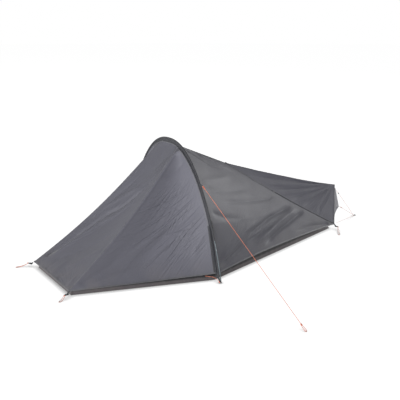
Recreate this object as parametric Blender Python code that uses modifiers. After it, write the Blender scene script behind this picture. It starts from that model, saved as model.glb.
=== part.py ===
"""One-person tent with a single cross hoop: fly, pole, inner tent, groundsheet, straps and guylines.

The origin is on the ground under the middle of the hoop. +X runs to the foot end, +Y to the far
side and +Z up. The door is on the near side, at -Y. All sizes are in metres.
"""
import math

import bmesh
import bpy
import numpy as np
from mathutils import Matrix, Vector

# Driving dimensions of the hoop and the fly
HOOP_HEIGHT = 1.00
HOOP_HALF_WIDTH = 0.75
HOOP_SIDE_POWER = 2.26
HOOP_TOP_POWER = 1.18
HEAD_X = -1.05
HEAD_HALF_WIDTH = 0.36
HEAD_HEM_Z = 0.042
HEAD_HEM_RISE = 0.004
HEAD_HEM_BOW = 0.003
HEM_Z = 0.05
HOOP_HEM_HALF_WIDTH = 0.69
RIDGE_BREAK = (0.55, 0.0, 0.73)
FOOT_CORNER = (1.67, 0.22, 0.044)
FOOT_PEAK = (1.87, 0.0, 0.36)
PULL_OUT = (1.94, 0.0, 0.13)
END_HEM = (1.82, 0.0, 0.05)
SEAM_TOP_Y = 0.15
HEAD_SEAM_SAG = 0.055
FOOT_SEAM_SAG = 0.018
RIDGE_SAG = 0.008
INSIDE = (0.30, 0.0, 0.20)

# How far hems are cut away, as shares of the panel, and how far panels are drawn in
SIDE_HEM_TRIM = 0.028
SIDE_HEM_POWER = 0.6
DOOR_HEM_TRIM = 0.012
HOLLOW_POWER = 0.7
HEAD_HOLLOW = 0.026
FRONT_HOLLOW = 0.045
SIDE_HOLLOW = 0.030
FOOT_HOLLOW = 0.006

# Sleeve and pole
SLEEVE_DEPTH_TOP = 0.040
SLEEVE_DEPTH_END = 0.0165
SLEEVE_END_Z = 0.31
STRAIGHT_END_Z = 0.43
LEG_SPREAD = 0.09
SLEEVE_RADIUS = 0.0075
SLEEVE_BORE = 0.0062
WEB_HALF = 0.0010
POLE_INSET = 0.0080
POLE_RADIUS = 0.0045
POLE_BORE = 0.0038
FERRULE_RADIUS = 0.0034
FERRULE_BORE = 0.0026
FERRULE_HALF_SPAN = 0.55
SHOCK_CORD_RADIUS = 0.0013
POLE_SECTIONS = 5
STATIONS = 36
TUBE_SIDES = 8
TIP_SPAN = 0.30
TIP_LIFT = 0.04

# Fabric and small parts
FABRIC = 0.0015
MESH_FABRIC = 0.0010
GAP = 0.0003
SEAM_GAP = 0.0012
LEG_SIDE_X = 0.004
ZIP_START_X = 0.0045
ZIP_WIDTH = 0.010
ZIP_HALF_THICKNESS = 0.0010
DOOR_EDGE_X = 0.0150
WEBBING = 0.0015
TAB_WIDTH = 0.014
TAB_START = 0.006
CORD_RADIUS = 0.0012
LOOP_RADIUS = 0.0014
LOOP_LIFT = 0.0007
LOOP_HALF_WIDTH = 0.006
LOOP_TURN = 0.007
LOOP_TURN_BACK = 0.010
EYELET_RADIUS = 0.0078
EYELET_WIRE = 0.0016
HOOP_STRAP_WIDTH = 0.016
BUCKLE_LENGTH = 0.022
BUCKLE_WIDTH = 0.020
BUCKLE_THICKNESS = 0.0040
BUCKLE_SLOT = 0.0056
BUCKLE_SLOT_SHIFT = 0.0048
BUCKLE_CLEARANCE = 0.0011

# Door zip
ZIP_LOW_T = 0.004
ZIP_HIGH_T = 0.004
ZIP_JOIN_T = 0.0012
SLIDER_START = 0.052
SLIDER_SIZE = (0.014, 0.009, 0.0036)
PULL_SIZE = (0.032, 0.003, 0.0014)
PULL_START = 0.003

# Groundsheet and inner tent
SHEET_THICKNESS = 0.0020
SHEET_WALL = 0.052
SHEET_HEAD = (-1.025, 0.335)
SHEET_HOOP = (0.0, 0.655)
SHEET_FOOT = (1.65, 0.175)
SHEET_LEAN = 0.012
INNER_HEIGHT = 0.870
INNER_HALF_WIDTH = 0.645
INNER_BREAK = (0.50, 0.0, 0.645)
INNER_PEAK = (1.700, 0.0, 0.255)
INNER_BASE_Z = SHEET_WALL + 0.004
INNER_TOP_Y = 0.14
INNER_BASE_T = 0.04
INNER_SHIFT = 0.003
INNER_HEAD_SAG = 0.040
INNER_FOOT_SAG = 0.015
INNER_RIDGE_SAG = 0.006
INNER_FRONT_HOLLOW = 0.036
INNER_HOLLOW = 0.014
INNER_FOOT_HOLLOW = 0.006
INNER_DOOR_GAP = 0.0025

# Guylines
GUY_TAB_Y = 0.47
GUY_GROUND = (-0.010, -1.695)
GUY_CORD_RADIUS = 0.0017
GUY_KNOT_BACK = 0.075
TAB_LENGTH = 0.014
GUY_TAB_WIDTH = 0.012
GUY_TAB_THICKNESS = 0.0024
RUNNER_HEIGHT = 0.0065
RUNNER_CLEARANCE = 0.0005
LINE_RING_X = 2.172
RING_MAJOR = 0.0090
RING_MINOR = 0.0022
PEAK_LINE_SHARE = 0.26

# Foot strut
STRUT_X = 1.80
STRUT_HEIGHT = 0.368
STRUT_RADIUS = 0.0040

UP = Vector((0.0, 0.0, 1.0))
ALONG = Vector((1.0, 0.0, 0.0))

# Colours, linear, with roughness and metallic value
FINISHES = {
    "fly_fabric": ((0.150, 0.150, 0.170), 0.60, 0.0),
    "sleeve_fabric": ((0.045, 0.046, 0.052), 0.70, 0.0),
    "inner_mesh": ((0.200, 0.205, 0.215), 0.80, 0.0),
    "floor_fabric": ((0.085, 0.078, 0.074), 0.55, 0.0),
    "pole_alloy": ((0.300, 0.335, 0.360), 0.30, 1.0),
    "plain_alloy": ((0.560, 0.570, 0.580), 0.32, 1.0),
    "black_plastic": ((0.020, 0.020, 0.023), 0.45, 0.0),
    "webbing": ((0.110, 0.120, 0.130), 0.75, 0.0),
    "orange_cord": ((0.830, 0.190, 0.095), 0.65, 0.0),
    "elastic": ((0.600, 0.600, 0.590), 0.70, 0.0),
}


def collection(name):
    """Makes a collection under the scene."""
    group = bpy.data.collections.new(name)
    bpy.context.scene.collection.children.link(group)
    return group


def finish(name):
    """Returns a material by name, made the first time it is asked for."""
    material = bpy.data.materials.get(name)
    if material is None:
        colour, roughness, metallic = FINISHES[name]
        material = bpy.data.materials.new(name)
        material.use_nodes = True
        shader = material.node_tree.nodes["Principled BSDF"]
        shader.inputs["Base Color"].default_value = (*colour, 1.0)
        shader.inputs["Roughness"].default_value = roughness
        shader.inputs["Metallic"].default_value = metallic
    return material


def own_finish(node, name):
    """Returns the node's own copy of a material."""
    material = finish(name).copy()
    material.name = node + "_" + name
    return material


def place(name, mesh, finish_name, smooth=True):
    """Adds a mesh to the tent's collection as one named piece."""
    piece = bpy.data.objects.new(name, mesh)
    TENT.objects.link(piece)
    mesh.materials.append(own_finish(name, finish_name))
    if smooth:
        mesh.shade_smooth()
    return piece


def mesh_from(name, bm):
    """Turns a bmesh into a mesh with its faces pointing out."""
    bmesh.ops.recalc_face_normals(bm, faces=bm.faces)
    mesh = bpy.data.meshes.new(name)
    bm.to_mesh(mesh)
    bm.free()
    return mesh


class HoopPath:
    """The hoop's outer line, cut into equal steps from the near foot over the top to the far foot."""

    def __init__(self):
        angle = np.linspace(0.0, math.pi, 6001)
        y = -HOOP_HALF_WIDTH * np.cos(angle)
        share = np.clip(np.abs(y) / HOOP_HALF_WIDTH, 0.0, 1.0)
        z = HOOP_HEIGHT * np.clip(1.0 - share ** HOOP_SIDE_POWER, 0.0, 1.0) ** (1.0 / HOOP_TOP_POWER)
        length = np.concatenate(([0.0], np.cumsum(np.hypot(np.diff(y), np.diff(z)))))
        steps = np.linspace(0.0, length[-1], STATIONS + 1)
        self.length = length[-1]
        self.y = np.interp(steps, length, y)
        self.z = np.interp(steps, length, z)
        run_y = np.gradient(self.y)
        run_z = np.gradient(self.z)
        size = np.hypot(run_y, run_z)
        self.out_y = -run_z / size
        self.out_z = run_y / size

    def at(self, station, inset=0.0):
        """Point on the path, drawn in along its outward normal."""
        y = np.interp(station, range(STATIONS + 1), self.y - inset * self.out_y)
        z = np.interp(station, range(STATIONS + 1), self.z - inset * self.out_z)
        return Vector((0.0, y, z))

    def out(self, station):
        """Outward direction, not normalised between stations, so that faces stay flat."""
        y = np.interp(station, range(STATIONS + 1), self.out_y)
        z = np.interp(station, range(STATIONS + 1), self.out_z)
        return Vector((0.0, y, z))

    def stops(self, start, end):
        """The stations that a piece from start to end passes, its ends included."""
        inner = [s for s in range(STATIONS + 1) if start + 0.02 < s < end - 0.02]
        return [start] + inner + [end]

    def station_at_height(self, z):
        """Station on the near leg where the path is at a height."""
        return float(np.interp(z, self.z[:STATIONS // 2 + 1], range(STATIONS // 2 + 1)))


HOOP = HoopPath()
SLEEVE_START = HOOP.station_at_height(SLEEVE_END_Z)
STRAIGHT_START = HOOP.station_at_height(STRAIGHT_END_Z)
MIDDLE = STATIONS / 2


def sleeve_depth(station):
    """Depth of the sleeve and its web, deepest at the top of the hoop and at its two low ends."""
    reach = abs(station - MIDDLE) / (MIDDLE - STRAIGHT_START)
    arch = SLEEVE_DEPTH_TOP + (SLEEVE_DEPTH_END - SLEEVE_DEPTH_TOP) * math.sin(math.pi / 2 * min(reach, 1.0))
    return arch + LEG_SPREAD * max(reach - 1.0, 0.0)


class BaseLine:
    """The line where the fly meets the sleeve, from the near hem over the hoop to the far hem."""

    def __init__(self):
        stops = HOOP.stops(STRAIGHT_START, STATIONS - STRAIGHT_START)
        arch = [HOOP.at(s, sleeve_depth(s)) for s in stops]
        near = Vector((0.0, -HOOP_HEM_HALF_WIDTH, HEM_Z))
        far = Vector((0.0, HOOP_HEM_HALF_WIDTH, HEM_Z))
        line = [near] + arch + [far]
        self.y = np.array([p.y for p in line])
        self.z = np.array([p.z for p in line])
        length = np.concatenate(([0.0], np.cumsum(np.hypot(np.diff(self.y), np.diff(self.z)))))
        self.t = length / length[-1]

    def at(self, t, x=0.0):
        """Point at a share of the line's length."""
        return Vector((x, np.interp(t, self.t, self.y), np.interp(t, self.t, self.z)))

    def t_at_y(self, y):
        """Share of the line's length where it crosses a Y value near the top."""
        return float(np.interp(y, self.y, self.t))


BASE = BaseLine()
SEAM_TOP_T = BASE.t_at_y(-SEAM_TOP_Y)
STRAIGHT_T = float(BASE.t[1])


def mirror(point):
    """The matching point on the far side."""
    return Vector((point[0], -point[1], point[2]))


def blend(a, b, share):
    """Point between two points."""
    return Vector(a).lerp(Vector(b), share)


def hanging(a, b, sag):
    """A rail from a to b that hangs below its chord by sag in the middle."""
    def rail(v):
        return blend(a, b, v) - UP * (sag * math.sin(math.pi * v))
    return rail


def ruled(rail_a, rail_b, rows, cols, first=0.0, last=1.0):
    """A grid of points: rows along two rails and straight columns across."""
    grid = np.zeros((rows + 1, cols + 1, 3))
    for i in range(rows + 1):
        v = first + (last - first) * i / rows
        a, b = rail_a(v), rail_b(v)
        for j in range(cols + 1):
            grid[i, j] = blend(a, b, j / cols)
    return grid


def creased(rails, rows, cols, first=0.0, last=1.0):
    """A grid over several rails, straight from each rail to the next."""
    strips = [ruled(rails[k], rails[k + 1], rows, cols, first, last) for k in range(len(rails) - 1)]
    return np.concatenate([strips[0]] + [strip[:, 1:] for strip in strips[1:]], axis=1)


def trimmed(rail_a, rail_b, rows, cols, trim, first=0.0):
    """A grid whose last row is cut away by the share of the rails that trim gives for each column."""
    grid = np.zeros((rows + 1, cols + 1, 3))
    for j in range(cols + 1):
        u = j / cols
        reach = 1.0 - first - trim(u)
        for i in range(rows + 1):
            v = first + reach * i / rows
            grid[i, j] = blend(rail_a(v), rail_b(v), u)
    return grid


def side_trim(u):
    """How much of the side panels' hem is cut away, from the leg to the foot corner."""
    return SIDE_HEM_TRIM * max(math.sin(math.pi * u), 0.0) ** SIDE_HEM_POWER


def door_trim(u):
    """How much of the front panels' hem is cut away, from the head corner to the leg."""
    return DOOR_HEM_TRIM * u


def far_copy(grid):
    """The like grid on the far side."""
    return grid[:, ::-1] * np.array((1.0, -1.0, 1.0))


def unit(rows):
    """Each row of an array scaled to length one."""
    return rows / np.maximum(np.linalg.norm(rows, axis=-1, keepdims=True), 1e-9)


def edge_shift(edge, inner, gap):
    """How far to move the points of an edge to sit gap inside it, square to the edge."""
    run = unit(np.gradient(edge, axis=0))
    step = inner - edge
    square = step - run * np.sum(step * run, axis=-1, keepdims=True)
    return unit(square) * gap


def drawn_in(grid, gap):
    """The grid with its four edges moved in, so that neighbours keep clear."""
    out = grid.copy()
    out[0] += edge_shift(grid[0], grid[1], gap)
    out[-1] += edge_shift(grid[-1], grid[-2], gap)
    out[:, 0] += edge_shift(grid[:, 0], grid[:, 1], gap)
    out[:, -1] += edge_shift(grid[:, -1], grid[:, -2], gap)
    return out


def outward(grid):
    """The directions square to the grid, away from the middle of the tent."""
    normal = unit(np.cross(np.gradient(grid, axis=1), np.gradient(grid, axis=0)))
    side = np.sum(normal * (grid - np.array(INSIDE)), axis=-1).mean()
    return normal * math.copysign(1.0, side)


def shares(grid):
    """How far down and how far across the grid each point is, from 0 to 1."""
    rows, cols = grid.shape[:2]
    return np.meshgrid(np.linspace(0, 1, rows), np.linspace(0, 1, cols), indexing="ij")


def folded(grid, height, folds, lean):
    """The grid with shallow stress folds that die out at its edges."""
    v, u = shares(grid)
    window = np.sin(math.pi * u) * np.sin(math.pi * v)
    wave = np.sin(2.0 * math.pi * (folds * u + lean * v))
    return grid + outward(grid) * (height * window * wave)[..., None]


def hollowed(grid, depth):
    """The grid with its middle drawn into the tent, as pulled cloth lies."""
    v, u = shares(grid)
    dip = depth * np.sin(math.pi * u) * np.abs(np.sin(math.pi * v)) ** HOLLOW_POWER
    return grid - outward(grid) * dip[..., None]


def cloth(name, grid, finish_name, thickness=FABRIC, gap=SEAM_GAP):
    """A fabric panel: an open sheet through the grid, thickened both ways."""
    points = drawn_in(grid, gap)
    rows, cols = points.shape[:2]
    bm = bmesh.new()
    verts = [[bm.verts.new(points[i, j]) for j in range(cols)] for i in range(rows)]
    for i in range(rows - 1):
        for j in range(cols - 1):
            bm.faces.new((verts[i][j], verts[i][j + 1], verts[i + 1][j + 1], verts[i + 1][j]))
    piece = place(name, mesh_from(name, bm), finish_name)
    solid = piece.modifiers.new("thickness", "SOLIDIFY")
    solid.thickness = thickness
    solid.offset = 0.0
    solid.use_even_offset = True
    return piece


def swept(name, rings, finish_name, hollow=False):
    """A body through rings of points, with capped ends. A hollow one has pairs of rings."""
    bm = bmesh.new()
    outer = [[bm.verts.new(p) for p in (ring[0] if hollow else ring)] for ring in rings]
    loops = [outer]
    if hollow:
        loops.append([[bm.verts.new(p) for p in ring[1]] for ring in rings])
    count = len(outer[0])
    for loop in loops:
        for k in range(len(loop) - 1):
            for i in range(count):
                j = (i + 1) % count
                bm.faces.new((loop[k][i], loop[k][j], loop[k + 1][j], loop[k + 1][i]))
    for k in (0, -1):
        if hollow:
            for i in range(count):
                j = (i + 1) % count
                bm.faces.new((loops[0][k][i], loops[0][k][j], loops[1][k][j], loops[1][k][i]))
        else:
            bm.faces.new(outer[k])
    piece = place(name, mesh_from(name, bm), finish_name)
    piece.data.set_sharp_from_angle(angle=math.radians(40))
    return piece


def hoop_ring(station, radius):
    """A ring of points round the pole's centre line."""
    centre = HOOP.at(station, POLE_INSET)
    out = HOOP.out(station)
    ring = []
    for i in range(TUBE_SIDES):
        angle = 2.0 * math.pi * (i + 0.5) / TUBE_SIDES
        ring.append(centre + out * (radius * math.cos(angle)) + ALONG * (radius * math.sin(angle)))
    return ring


def hoop_tube(name, start, end, radius, bore, finish_name):
    """A bent tube, or a rod where bore is None, on the pole's centre line."""
    stops = HOOP.stops(start, end)
    if bore is None:
        return swept(name, [hoop_ring(s, radius) for s in stops], finish_name)
    return swept(name, [(hoop_ring(s, radius), hoop_ring(s, bore)) for s in stops], finish_name, True)


def build_pole():
    """Five hollow sections joined by inner ferrules, on one elastic cord, with a tip at each foot."""
    first, last = TIP_SPAN, STATIONS - TIP_SPAN
    step = (last - first) / POLE_SECTIONS
    joint_gap = GAP / HOOP.length * STATIONS
    for k in range(POLE_SECTIONS):
        start = first + k * step + (joint_gap if k else 0.0)
        end = first + (k + 1) * step
        hoop_tube(f"pole_section_{k + 1}", start, end, POLE_RADIUS, POLE_BORE, "pole_alloy")
    for k in range(1, POLE_SECTIONS):
        middle = first + k * step
        hoop_tube(f"pole_ferrule_{k}", middle - FERRULE_HALF_SPAN, middle + FERRULE_HALF_SPAN,
                  FERRULE_RADIUS, FERRULE_BORE, "plain_alloy")
    hoop_tube("pole_shock_cord", first, last, SHOCK_CORD_RADIUS, None, "elastic")
    for side, (start, end) in {"near": (TIP_LIFT, first - joint_gap),
                               "far": (last + joint_gap, STATIONS - TIP_LIFT)}.items():
        hoop_tube(f"pole_tip_{side}", start, end, POLE_RADIUS, None, "black_plastic")


def sleeve_section(station):
    """The sleeve's outline and bore at a station: a tube round the pole on a thin web."""
    centre = HOOP.at(station, POLE_INSET)
    out = HOOP.out(station)
    depth = sleeve_depth(station) - POLE_INSET
    outer = [centre - out * depth - ALONG * WEB_HALF]
    inner = []
    angles = [math.radians(-165.0 + 330.0 * i / 8) for i in range(9)]
    for angle in [math.radians(-174.0)] + angles + [math.radians(174.0)]:
        inner.append(centre + (out * math.cos(angle) + ALONG * math.sin(angle)) * SLEEVE_BORE)
    for angle in angles:
        outer.append(centre + (out * math.cos(angle) + ALONG * math.sin(angle)) * SLEEVE_RADIUS)
    outer.append(centre - out * depth + ALONG * WEB_HALF)
    return outer, inner


def build_sleeve():
    """The outside pole sleeve, which stands proud of the fly as a fin."""
    stops = HOOP.stops(SLEEVE_START, STATIONS - SLEEVE_START)
    swept("pole_sleeve", [sleeve_section(s) for s in stops], "sleeve_fabric", True)


def base_rail(start, end, x):
    """A rail along the line where the fly meets the sleeve."""
    def rail(v):
        return BASE.at(start + (end - start) * v, x)
    return rail


def head_hem(v):
    """The raised hem at the head end, near corner to far corner."""
    point = blend((HEAD_X, -HEAD_HALF_WIDTH, HEAD_HEM_Z), (HEAD_X, HEAD_HALF_WIDTH, HEAD_HEM_Z), v)
    bow = math.sin(math.pi * v)
    return point + UP * (HEAD_HEM_RISE * bow) + ALONG * (HEAD_HEM_BOW * bow)


def arched_panel(near_rail, far_rail, top, low, rows, cols):
    """A grid between two seams whose first row follows top and whose last row follows low."""
    grid = np.zeros((rows + 1, cols + 1, 3))
    for i in range(rows + 1):
        v = i / rows
        for j in range(cols + 1):
            u = j / cols
            top_rise = top(u) - blend(near_rail(0.0), far_rail(0.0), u)
            low_rise = low(u) - blend(near_rail(1.0), far_rail(1.0), u)
            grid[i, j] = blend(near_rail(v), far_rail(v), u) + top_rise * (1.0 - v) + low_rise * v
    return grid


def build_fly():
    """The fly's panels, each a tensioned sheet between straight or hanging seams."""
    near_corner = Vector((HEAD_X, -HEAD_HALF_WIDTH, HEAD_HEM_Z))
    near_top = BASE.at(SEAM_TOP_T, -LEG_SIDE_X)
    near_seam = hanging(near_top, near_corner, HEAD_SEAM_SAG)
    far_seam = hanging(mirror(near_top), mirror(near_corner), HEAD_SEAM_SAG)
    head_arch = base_rail(SEAM_TOP_T, 1.0 - SEAM_TOP_T, -LEG_SIDE_X)
    head = arched_panel(near_seam, far_seam, head_arch, head_hem, 16, 10)
    cloth("fly_head_panel", folded(hollowed(head, HEAD_HOLLOW), 0.005, 2.5, 0.4), "fly_fabric")

    door = trimmed(near_seam, base_rail(SEAM_TOP_T, 0.0, -DOOR_EDGE_X), 14, 10, door_trim, 0.05)
    cloth("fly_door", folded(hollowed(door, FRONT_HOLLOW), 0.004, 1.2, 2.2), "fly_fabric")
    front_leg = base_rail(SEAM_TOP_T, 0.0, -LEG_SIDE_X)
    far_front = far_copy(trimmed(near_seam, front_leg, 12, 8, door_trim, 0.05))
    cloth("fly_far_front_panel", folded(hollowed(far_front, FRONT_HOLLOW), 0.004, 1.2, 2.0), "fly_fabric")

    corner = Vector(FOOT_CORNER)
    near_foot = mirror(corner)
    foot_seam_near = hanging(RIDGE_BREAK, near_foot, FOOT_SEAM_SAG)
    foot_seam_far = hanging(RIDGE_BREAK, corner, FOOT_SEAM_SAG)
    side = trimmed(base_rail(0.5, 0.0, LEG_SIDE_X), foot_seam_near, 14, 12, side_trim)
    side = folded(hollowed(side, SIDE_HOLLOW), 0.005, 1.5, 1.0)
    cloth("fly_near_side_panel", side, "fly_fabric")
    cloth("fly_far_side_panel", far_copy(side), "fly_fabric")

    ridge = hanging(RIDGE_BREAK, FOOT_PEAK, RIDGE_SAG)
    top = creased((foot_seam_near, ridge, foot_seam_far), 14, 5, 0.04)
    cloth("fly_foot_top_panel", hollowed(top, FOOT_HOLLOW), "fly_fabric")

    near_edge = hanging(FOOT_PEAK, near_foot, 0.0)
    far_edge = hanging(FOOT_PEAK, corner, 0.0)
    peak, pulled, low = Vector(FOOT_PEAK), Vector(PULL_OUT), Vector(END_HEM)
    pull_share = (peak.z - pulled.z) / (peak.z - low.z)

    def end_middle(v):
        if v < pull_share:
            return blend(peak, pulled, v / pull_share)
        return blend(pulled, low, (v - pull_share) / (1.0 - pull_share))

    end = creased((near_edge, end_middle, far_edge), 8, 4, 0.12)
    cloth("fly_end_panel", end, "fly_fabric")


def leg_strip(name, start, end, x_low, x_high, half, finish_name, count=14):
    """A flat strip along the near leg's base line, between two X values."""
    rings = []
    for i in range(count + 1):
        t = start + (end - start) * i / count
        here = BASE.at(t)
        ahead = BASE.at(min(t + 0.004, 1.0)) - BASE.at(max(t - 0.004, 0.0))
        out = Vector((0.0, -ahead.z, ahead.y)).normalized()
        rings.append([here + ALONG * x + out * side
                      for x, side in ((x_low, -half), (x_high, -half), (x_high, half), (x_low, half))])
    return swept(name, rings, finish_name)


def build_zip():
    """The door's zip: a straight chain up the lower leg, tape above it, the slider and its pull."""
    x_low, x_high = -ZIP_START_X - ZIP_WIDTH, -ZIP_START_X
    leg_strip("door_zip_chain", ZIP_LOW_T, STRAIGHT_T, x_low, x_high, ZIP_HALF_THICKNESS,
              "black_plastic", count=2)
    leg_strip("door_zip_tape", STRAIGHT_T + ZIP_JOIN_T, SEAM_TOP_T - ZIP_HIGH_T, x_low, x_high,
              ZIP_HALF_THICKNESS, "sleeve_fabric")
    low, high = BASE.at(0.0), BASE.at(STRAIGHT_T)
    along = (high - low).normalized()
    out = Vector((0.0, -along.z, along.y))
    face = low + along * SLIDER_START + ALONG * (x_low + ZIP_WIDTH / 2) + out * (ZIP_HALF_THICKNESS + GAP)
    slider_at = face + out * (SLIDER_SIZE[2] / 2)
    box("door_zip_slider", slider_at, along, ALONG, SLIDER_SIZE, "plain_alloy", 0.0010)
    pull_top = face + out * (SLIDER_SIZE[2] + GAP + PULL_SIZE[2] / 2) + along * PULL_START
    pull_at = pull_top - along * (PULL_SIZE[0] / 2)
    box("door_zip_pull", pull_at, along, ALONG, PULL_SIZE, "orange_cord", 0.0006)


def box(name, centre, along, across, size, finish_name, bevel=0.0):
    """A box with its length along one direction and its width across."""
    along = Vector(along).normalized()
    normal = along.cross(Vector(across)).normalized()
    across = normal.cross(along).normalized()
    bm = bmesh.new()
    bmesh.ops.create_cube(bm, size=1.0)
    bmesh.ops.scale(bm, vec=size, verts=bm.verts)
    piece = place(name, mesh_from(name, bm), finish_name, smooth=False)
    frame = Matrix((along, across, normal)).transposed().to_4x4()
    frame.translation = centre
    piece.matrix_world = frame
    if bevel:
        rounding = piece.modifiers.new("rounding", "BEVEL")
        rounding.width = bevel
        rounding.segments = 1
    return piece


def cut(piece, cutter_mesh, frame):
    """Cuts a closed mesh out of a piece."""
    cutter = bpy.data.objects.new(piece.name + "_cutter_" + str(len(CUTTERS.objects)), cutter_mesh)
    CUTTERS.objects.link(cutter)
    cutter.matrix_world = frame
    cutter.hide_render = True
    cutter.display_type = "WIRE"
    boolean = piece.modifiers.new("cut", "BOOLEAN")
    boolean.operation = "DIFFERENCE"
    boolean.object = cutter
    return cutter


def rod_mesh(name, radius, length, sides):
    """A closed rod along its own X axis."""
    bm = bmesh.new()
    bmesh.ops.create_cone(bm, cap_ends=True, segments=sides, radius1=radius, radius2=radius, depth=length,
                          matrix=Matrix.Rotation(math.pi / 2, 4, "Y"))
    return mesh_from(name, bm)


def cube_mesh(name, size):
    """A closed box."""
    bm = bmesh.new()
    bmesh.ops.create_cube(bm, size=1.0)
    bmesh.ops.scale(bm, vec=size, verts=bm.verts)
    return mesh_from(name, bm)


def smooth_route(points, count):
    """Evenly spaced points on a smooth curve through the route's own points."""
    knots = [Vector(p) for p in points]
    padded = [knots[0] * 2 - knots[1]] + knots + [knots[-1] * 2 - knots[-2]]
    dense = []
    for k in range(1, len(padded) - 2):
        a, b, c, d = padded[k - 1:k + 3]
        for i in range(24):
            t = i / 24
            dense.append(0.5 * ((2 * b) + (c - a) * t + (2 * a - 5 * b + 4 * c - d) * t * t
                                + (3 * b - a - 3 * c + d) * t * t * t))
    dense.append(knots[-1])
    gaps = [(dense[i + 1] - dense[i]).length for i in range(len(dense) - 1)]
    length = np.concatenate(([0.0], np.cumsum(gaps)))
    stops = np.linspace(0.0, length[-1], count)
    axes = [np.interp(stops, length, [p[k] for p in dense]) for k in range(3)]
    return [Vector(p) for p in zip(*axes)]


def cord(name, points, radius):
    """A cord: a round tube through its points, with filled caps."""
    curve = bpy.data.curves.new(name, "CURVE")
    curve.dimensions = "3D"
    curve.bevel_depth = radius
    curve.bevel_resolution = 2
    curve.use_fill_caps = True
    spline = curve.splines.new("POLY")
    spline.points.add(len(points) - 1)
    for point, place_at in zip(spline.points, points):
        point.co = (*place_at, 1.0)
    piece = bpy.data.objects.new(name, curve)
    TENT.objects.link(piece)
    curve.materials.append(own_finish(name, "orange_cord"))
    return piece


def runner(name, line_start, line_end, line_radius, distance, length, width, finish_name):
    """A line runner: a wedge with a bore that slides along its straight line."""
    along = (line_end - line_start).normalized()
    across = along.cross(UP).normalized()
    centre = line_start + along * distance
    piece = box(name, centre, along, across, (length, width, RUNNER_HEIGHT), finish_name)
    frame = piece.matrix_world.copy()
    cut(piece, rod_mesh(name + "_bore", line_radius + RUNNER_CLEARANCE, length * 1.5, 8), frame)


def build_guylines():
    """The near guyline, the three foot lines that meet in a ring, their runners and their tabs."""
    near_station = float(np.interp(-GUY_TAB_Y, HOOP.y[:STATIONS // 2], range(STATIONS // 2)))
    for side, station in (("far", STATIONS - near_station), ("near", near_station)):
        out = HOOP.out(station).normalized()
        foot = HOOP.at(station) + out * (GAP + TAB_LENGTH / 2)
        along = Vector((0.0, -out.z, out.y))
        size = (TAB_LENGTH, GUY_TAB_WIDTH, GUY_TAB_THICKNESS)
        box(f"guy_tab_{side}", foot, out, along, size, "webbing", 0.0006)
    start = foot + out * (TAB_LENGTH / 2)
    ground = Vector((*GUY_GROUND, GUY_CORD_RADIUS))
    run = (ground - start).normalized()
    knot = ground - run * GUY_KNOT_BACK
    start = start + run * (GUY_CORD_RADIUS + 0.0018)
    straight = [start + (knot - start) * (i / 12) for i in range(13)]
    loop = [knot + run * 0.025 + ALONG * 0.003, ground - run * 0.016 + ALONG * 0.007, ground,
            ground - run * 0.016 - ALONG * 0.007, knot + run * 0.022 - ALONG * 0.0048]
    for point in loop:
        point.z = max(point.z, GUY_CORD_RADIUS + 0.0002)
    cord("guyline_near", straight[:-1] + smooth_route([knot] + loop, 26), GUY_CORD_RADIUS)
    runner("guyline_runner_near", start, knot, GUY_CORD_RADIUS, 0.030, 0.026, 0.013, "orange_cord")

    ring_at = Vector((LINE_RING_X, 0.0, RING_MINOR + 0.0002))
    bpy.ops.mesh.primitive_torus_add(major_radius=RING_MAJOR, minor_radius=RING_MINOR,
                                     major_segments=16, minor_segments=8, location=ring_at)
    ring = bpy.context.object
    ring.name = "foot_line_ring"
    adopt(ring, "black_plastic")

    peak, pulled = Vector(FOOT_PEAK), Vector(PULL_OUT)
    peak_from = blend(peak, pulled, PEAK_LINE_SHARE) + ALONG * 0.006
    pull_from = pulled + ALONG * 0.004
    corner_from = mirror(FOOT_CORNER) + Vector((0.018, -0.004, 0.012))
    sources = {"peak": (peak_from, -0.6), "middle": (pull_from, 0.0), "corner": (corner_from, 0.15)}
    for name, (begin, turn) in sources.items():
        towards = Vector((begin.x - ring_at.x, begin.y - ring_at.y, 0.0)).normalized()
        side = Vector((-towards.y, towards.x, 0.0))
        edge = (towards + side * turn).normalized()
        finish_at = ring_at + edge * (RING_MAJOR + RING_MINOR + CORD_RADIUS + 2 * GAP) + UP * 0.0012
        begin = begin + (finish_at - begin).normalized() * 0.004
        cord(f"foot_line_{name}", [begin + (finish_at - begin) * (i / 10) for i in range(11)], CORD_RADIUS)
        if name == "peak":
            runner("foot_line_runner_peak", begin, finish_at, CORD_RADIUS, 0.045, 0.022, 0.011,
                   "black_plastic")
        if name == "middle":
            runner("foot_line_runner_middle", begin, finish_at, CORD_RADIUS, 0.030, 0.024, 0.011,
                   "orange_cord")


def adopt(piece, finish_name):
    """Moves a primitive into the tent's collection and gives it a material."""
    for group in list(piece.users_collection):
        group.objects.unlink(piece)
    TENT.objects.link(piece)
    piece.data.name = piece.name
    piece.data.materials.append(own_finish(piece.name, finish_name))
    piece.data.shade_smooth()


def ladder_buckle(name, centre, along):
    """A ladder-lock buckle: a flat plate with two slots, so that three bars stand across it."""
    across = Vector(along).cross(UP).normalized()
    size = (BUCKLE_LENGTH, BUCKLE_WIDTH, BUCKLE_THICKNESS)
    piece = box(name, centre, along, across, size, "black_plastic")
    for shift in (-BUCKLE_SLOT_SHIFT, BUCKLE_SLOT_SHIFT):
        frame = piece.matrix_world.copy()
        frame.translation = piece.matrix_world @ Vector((shift, 0.0, 0.0))
        slot = (BUCKLE_SLOT, BUCKLE_WIDTH - BUCKLE_SLOT, BUCKLE_THICKNESS * 3)
        cut(piece, cube_mesh(name + "_slot", slot), frame)


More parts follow.
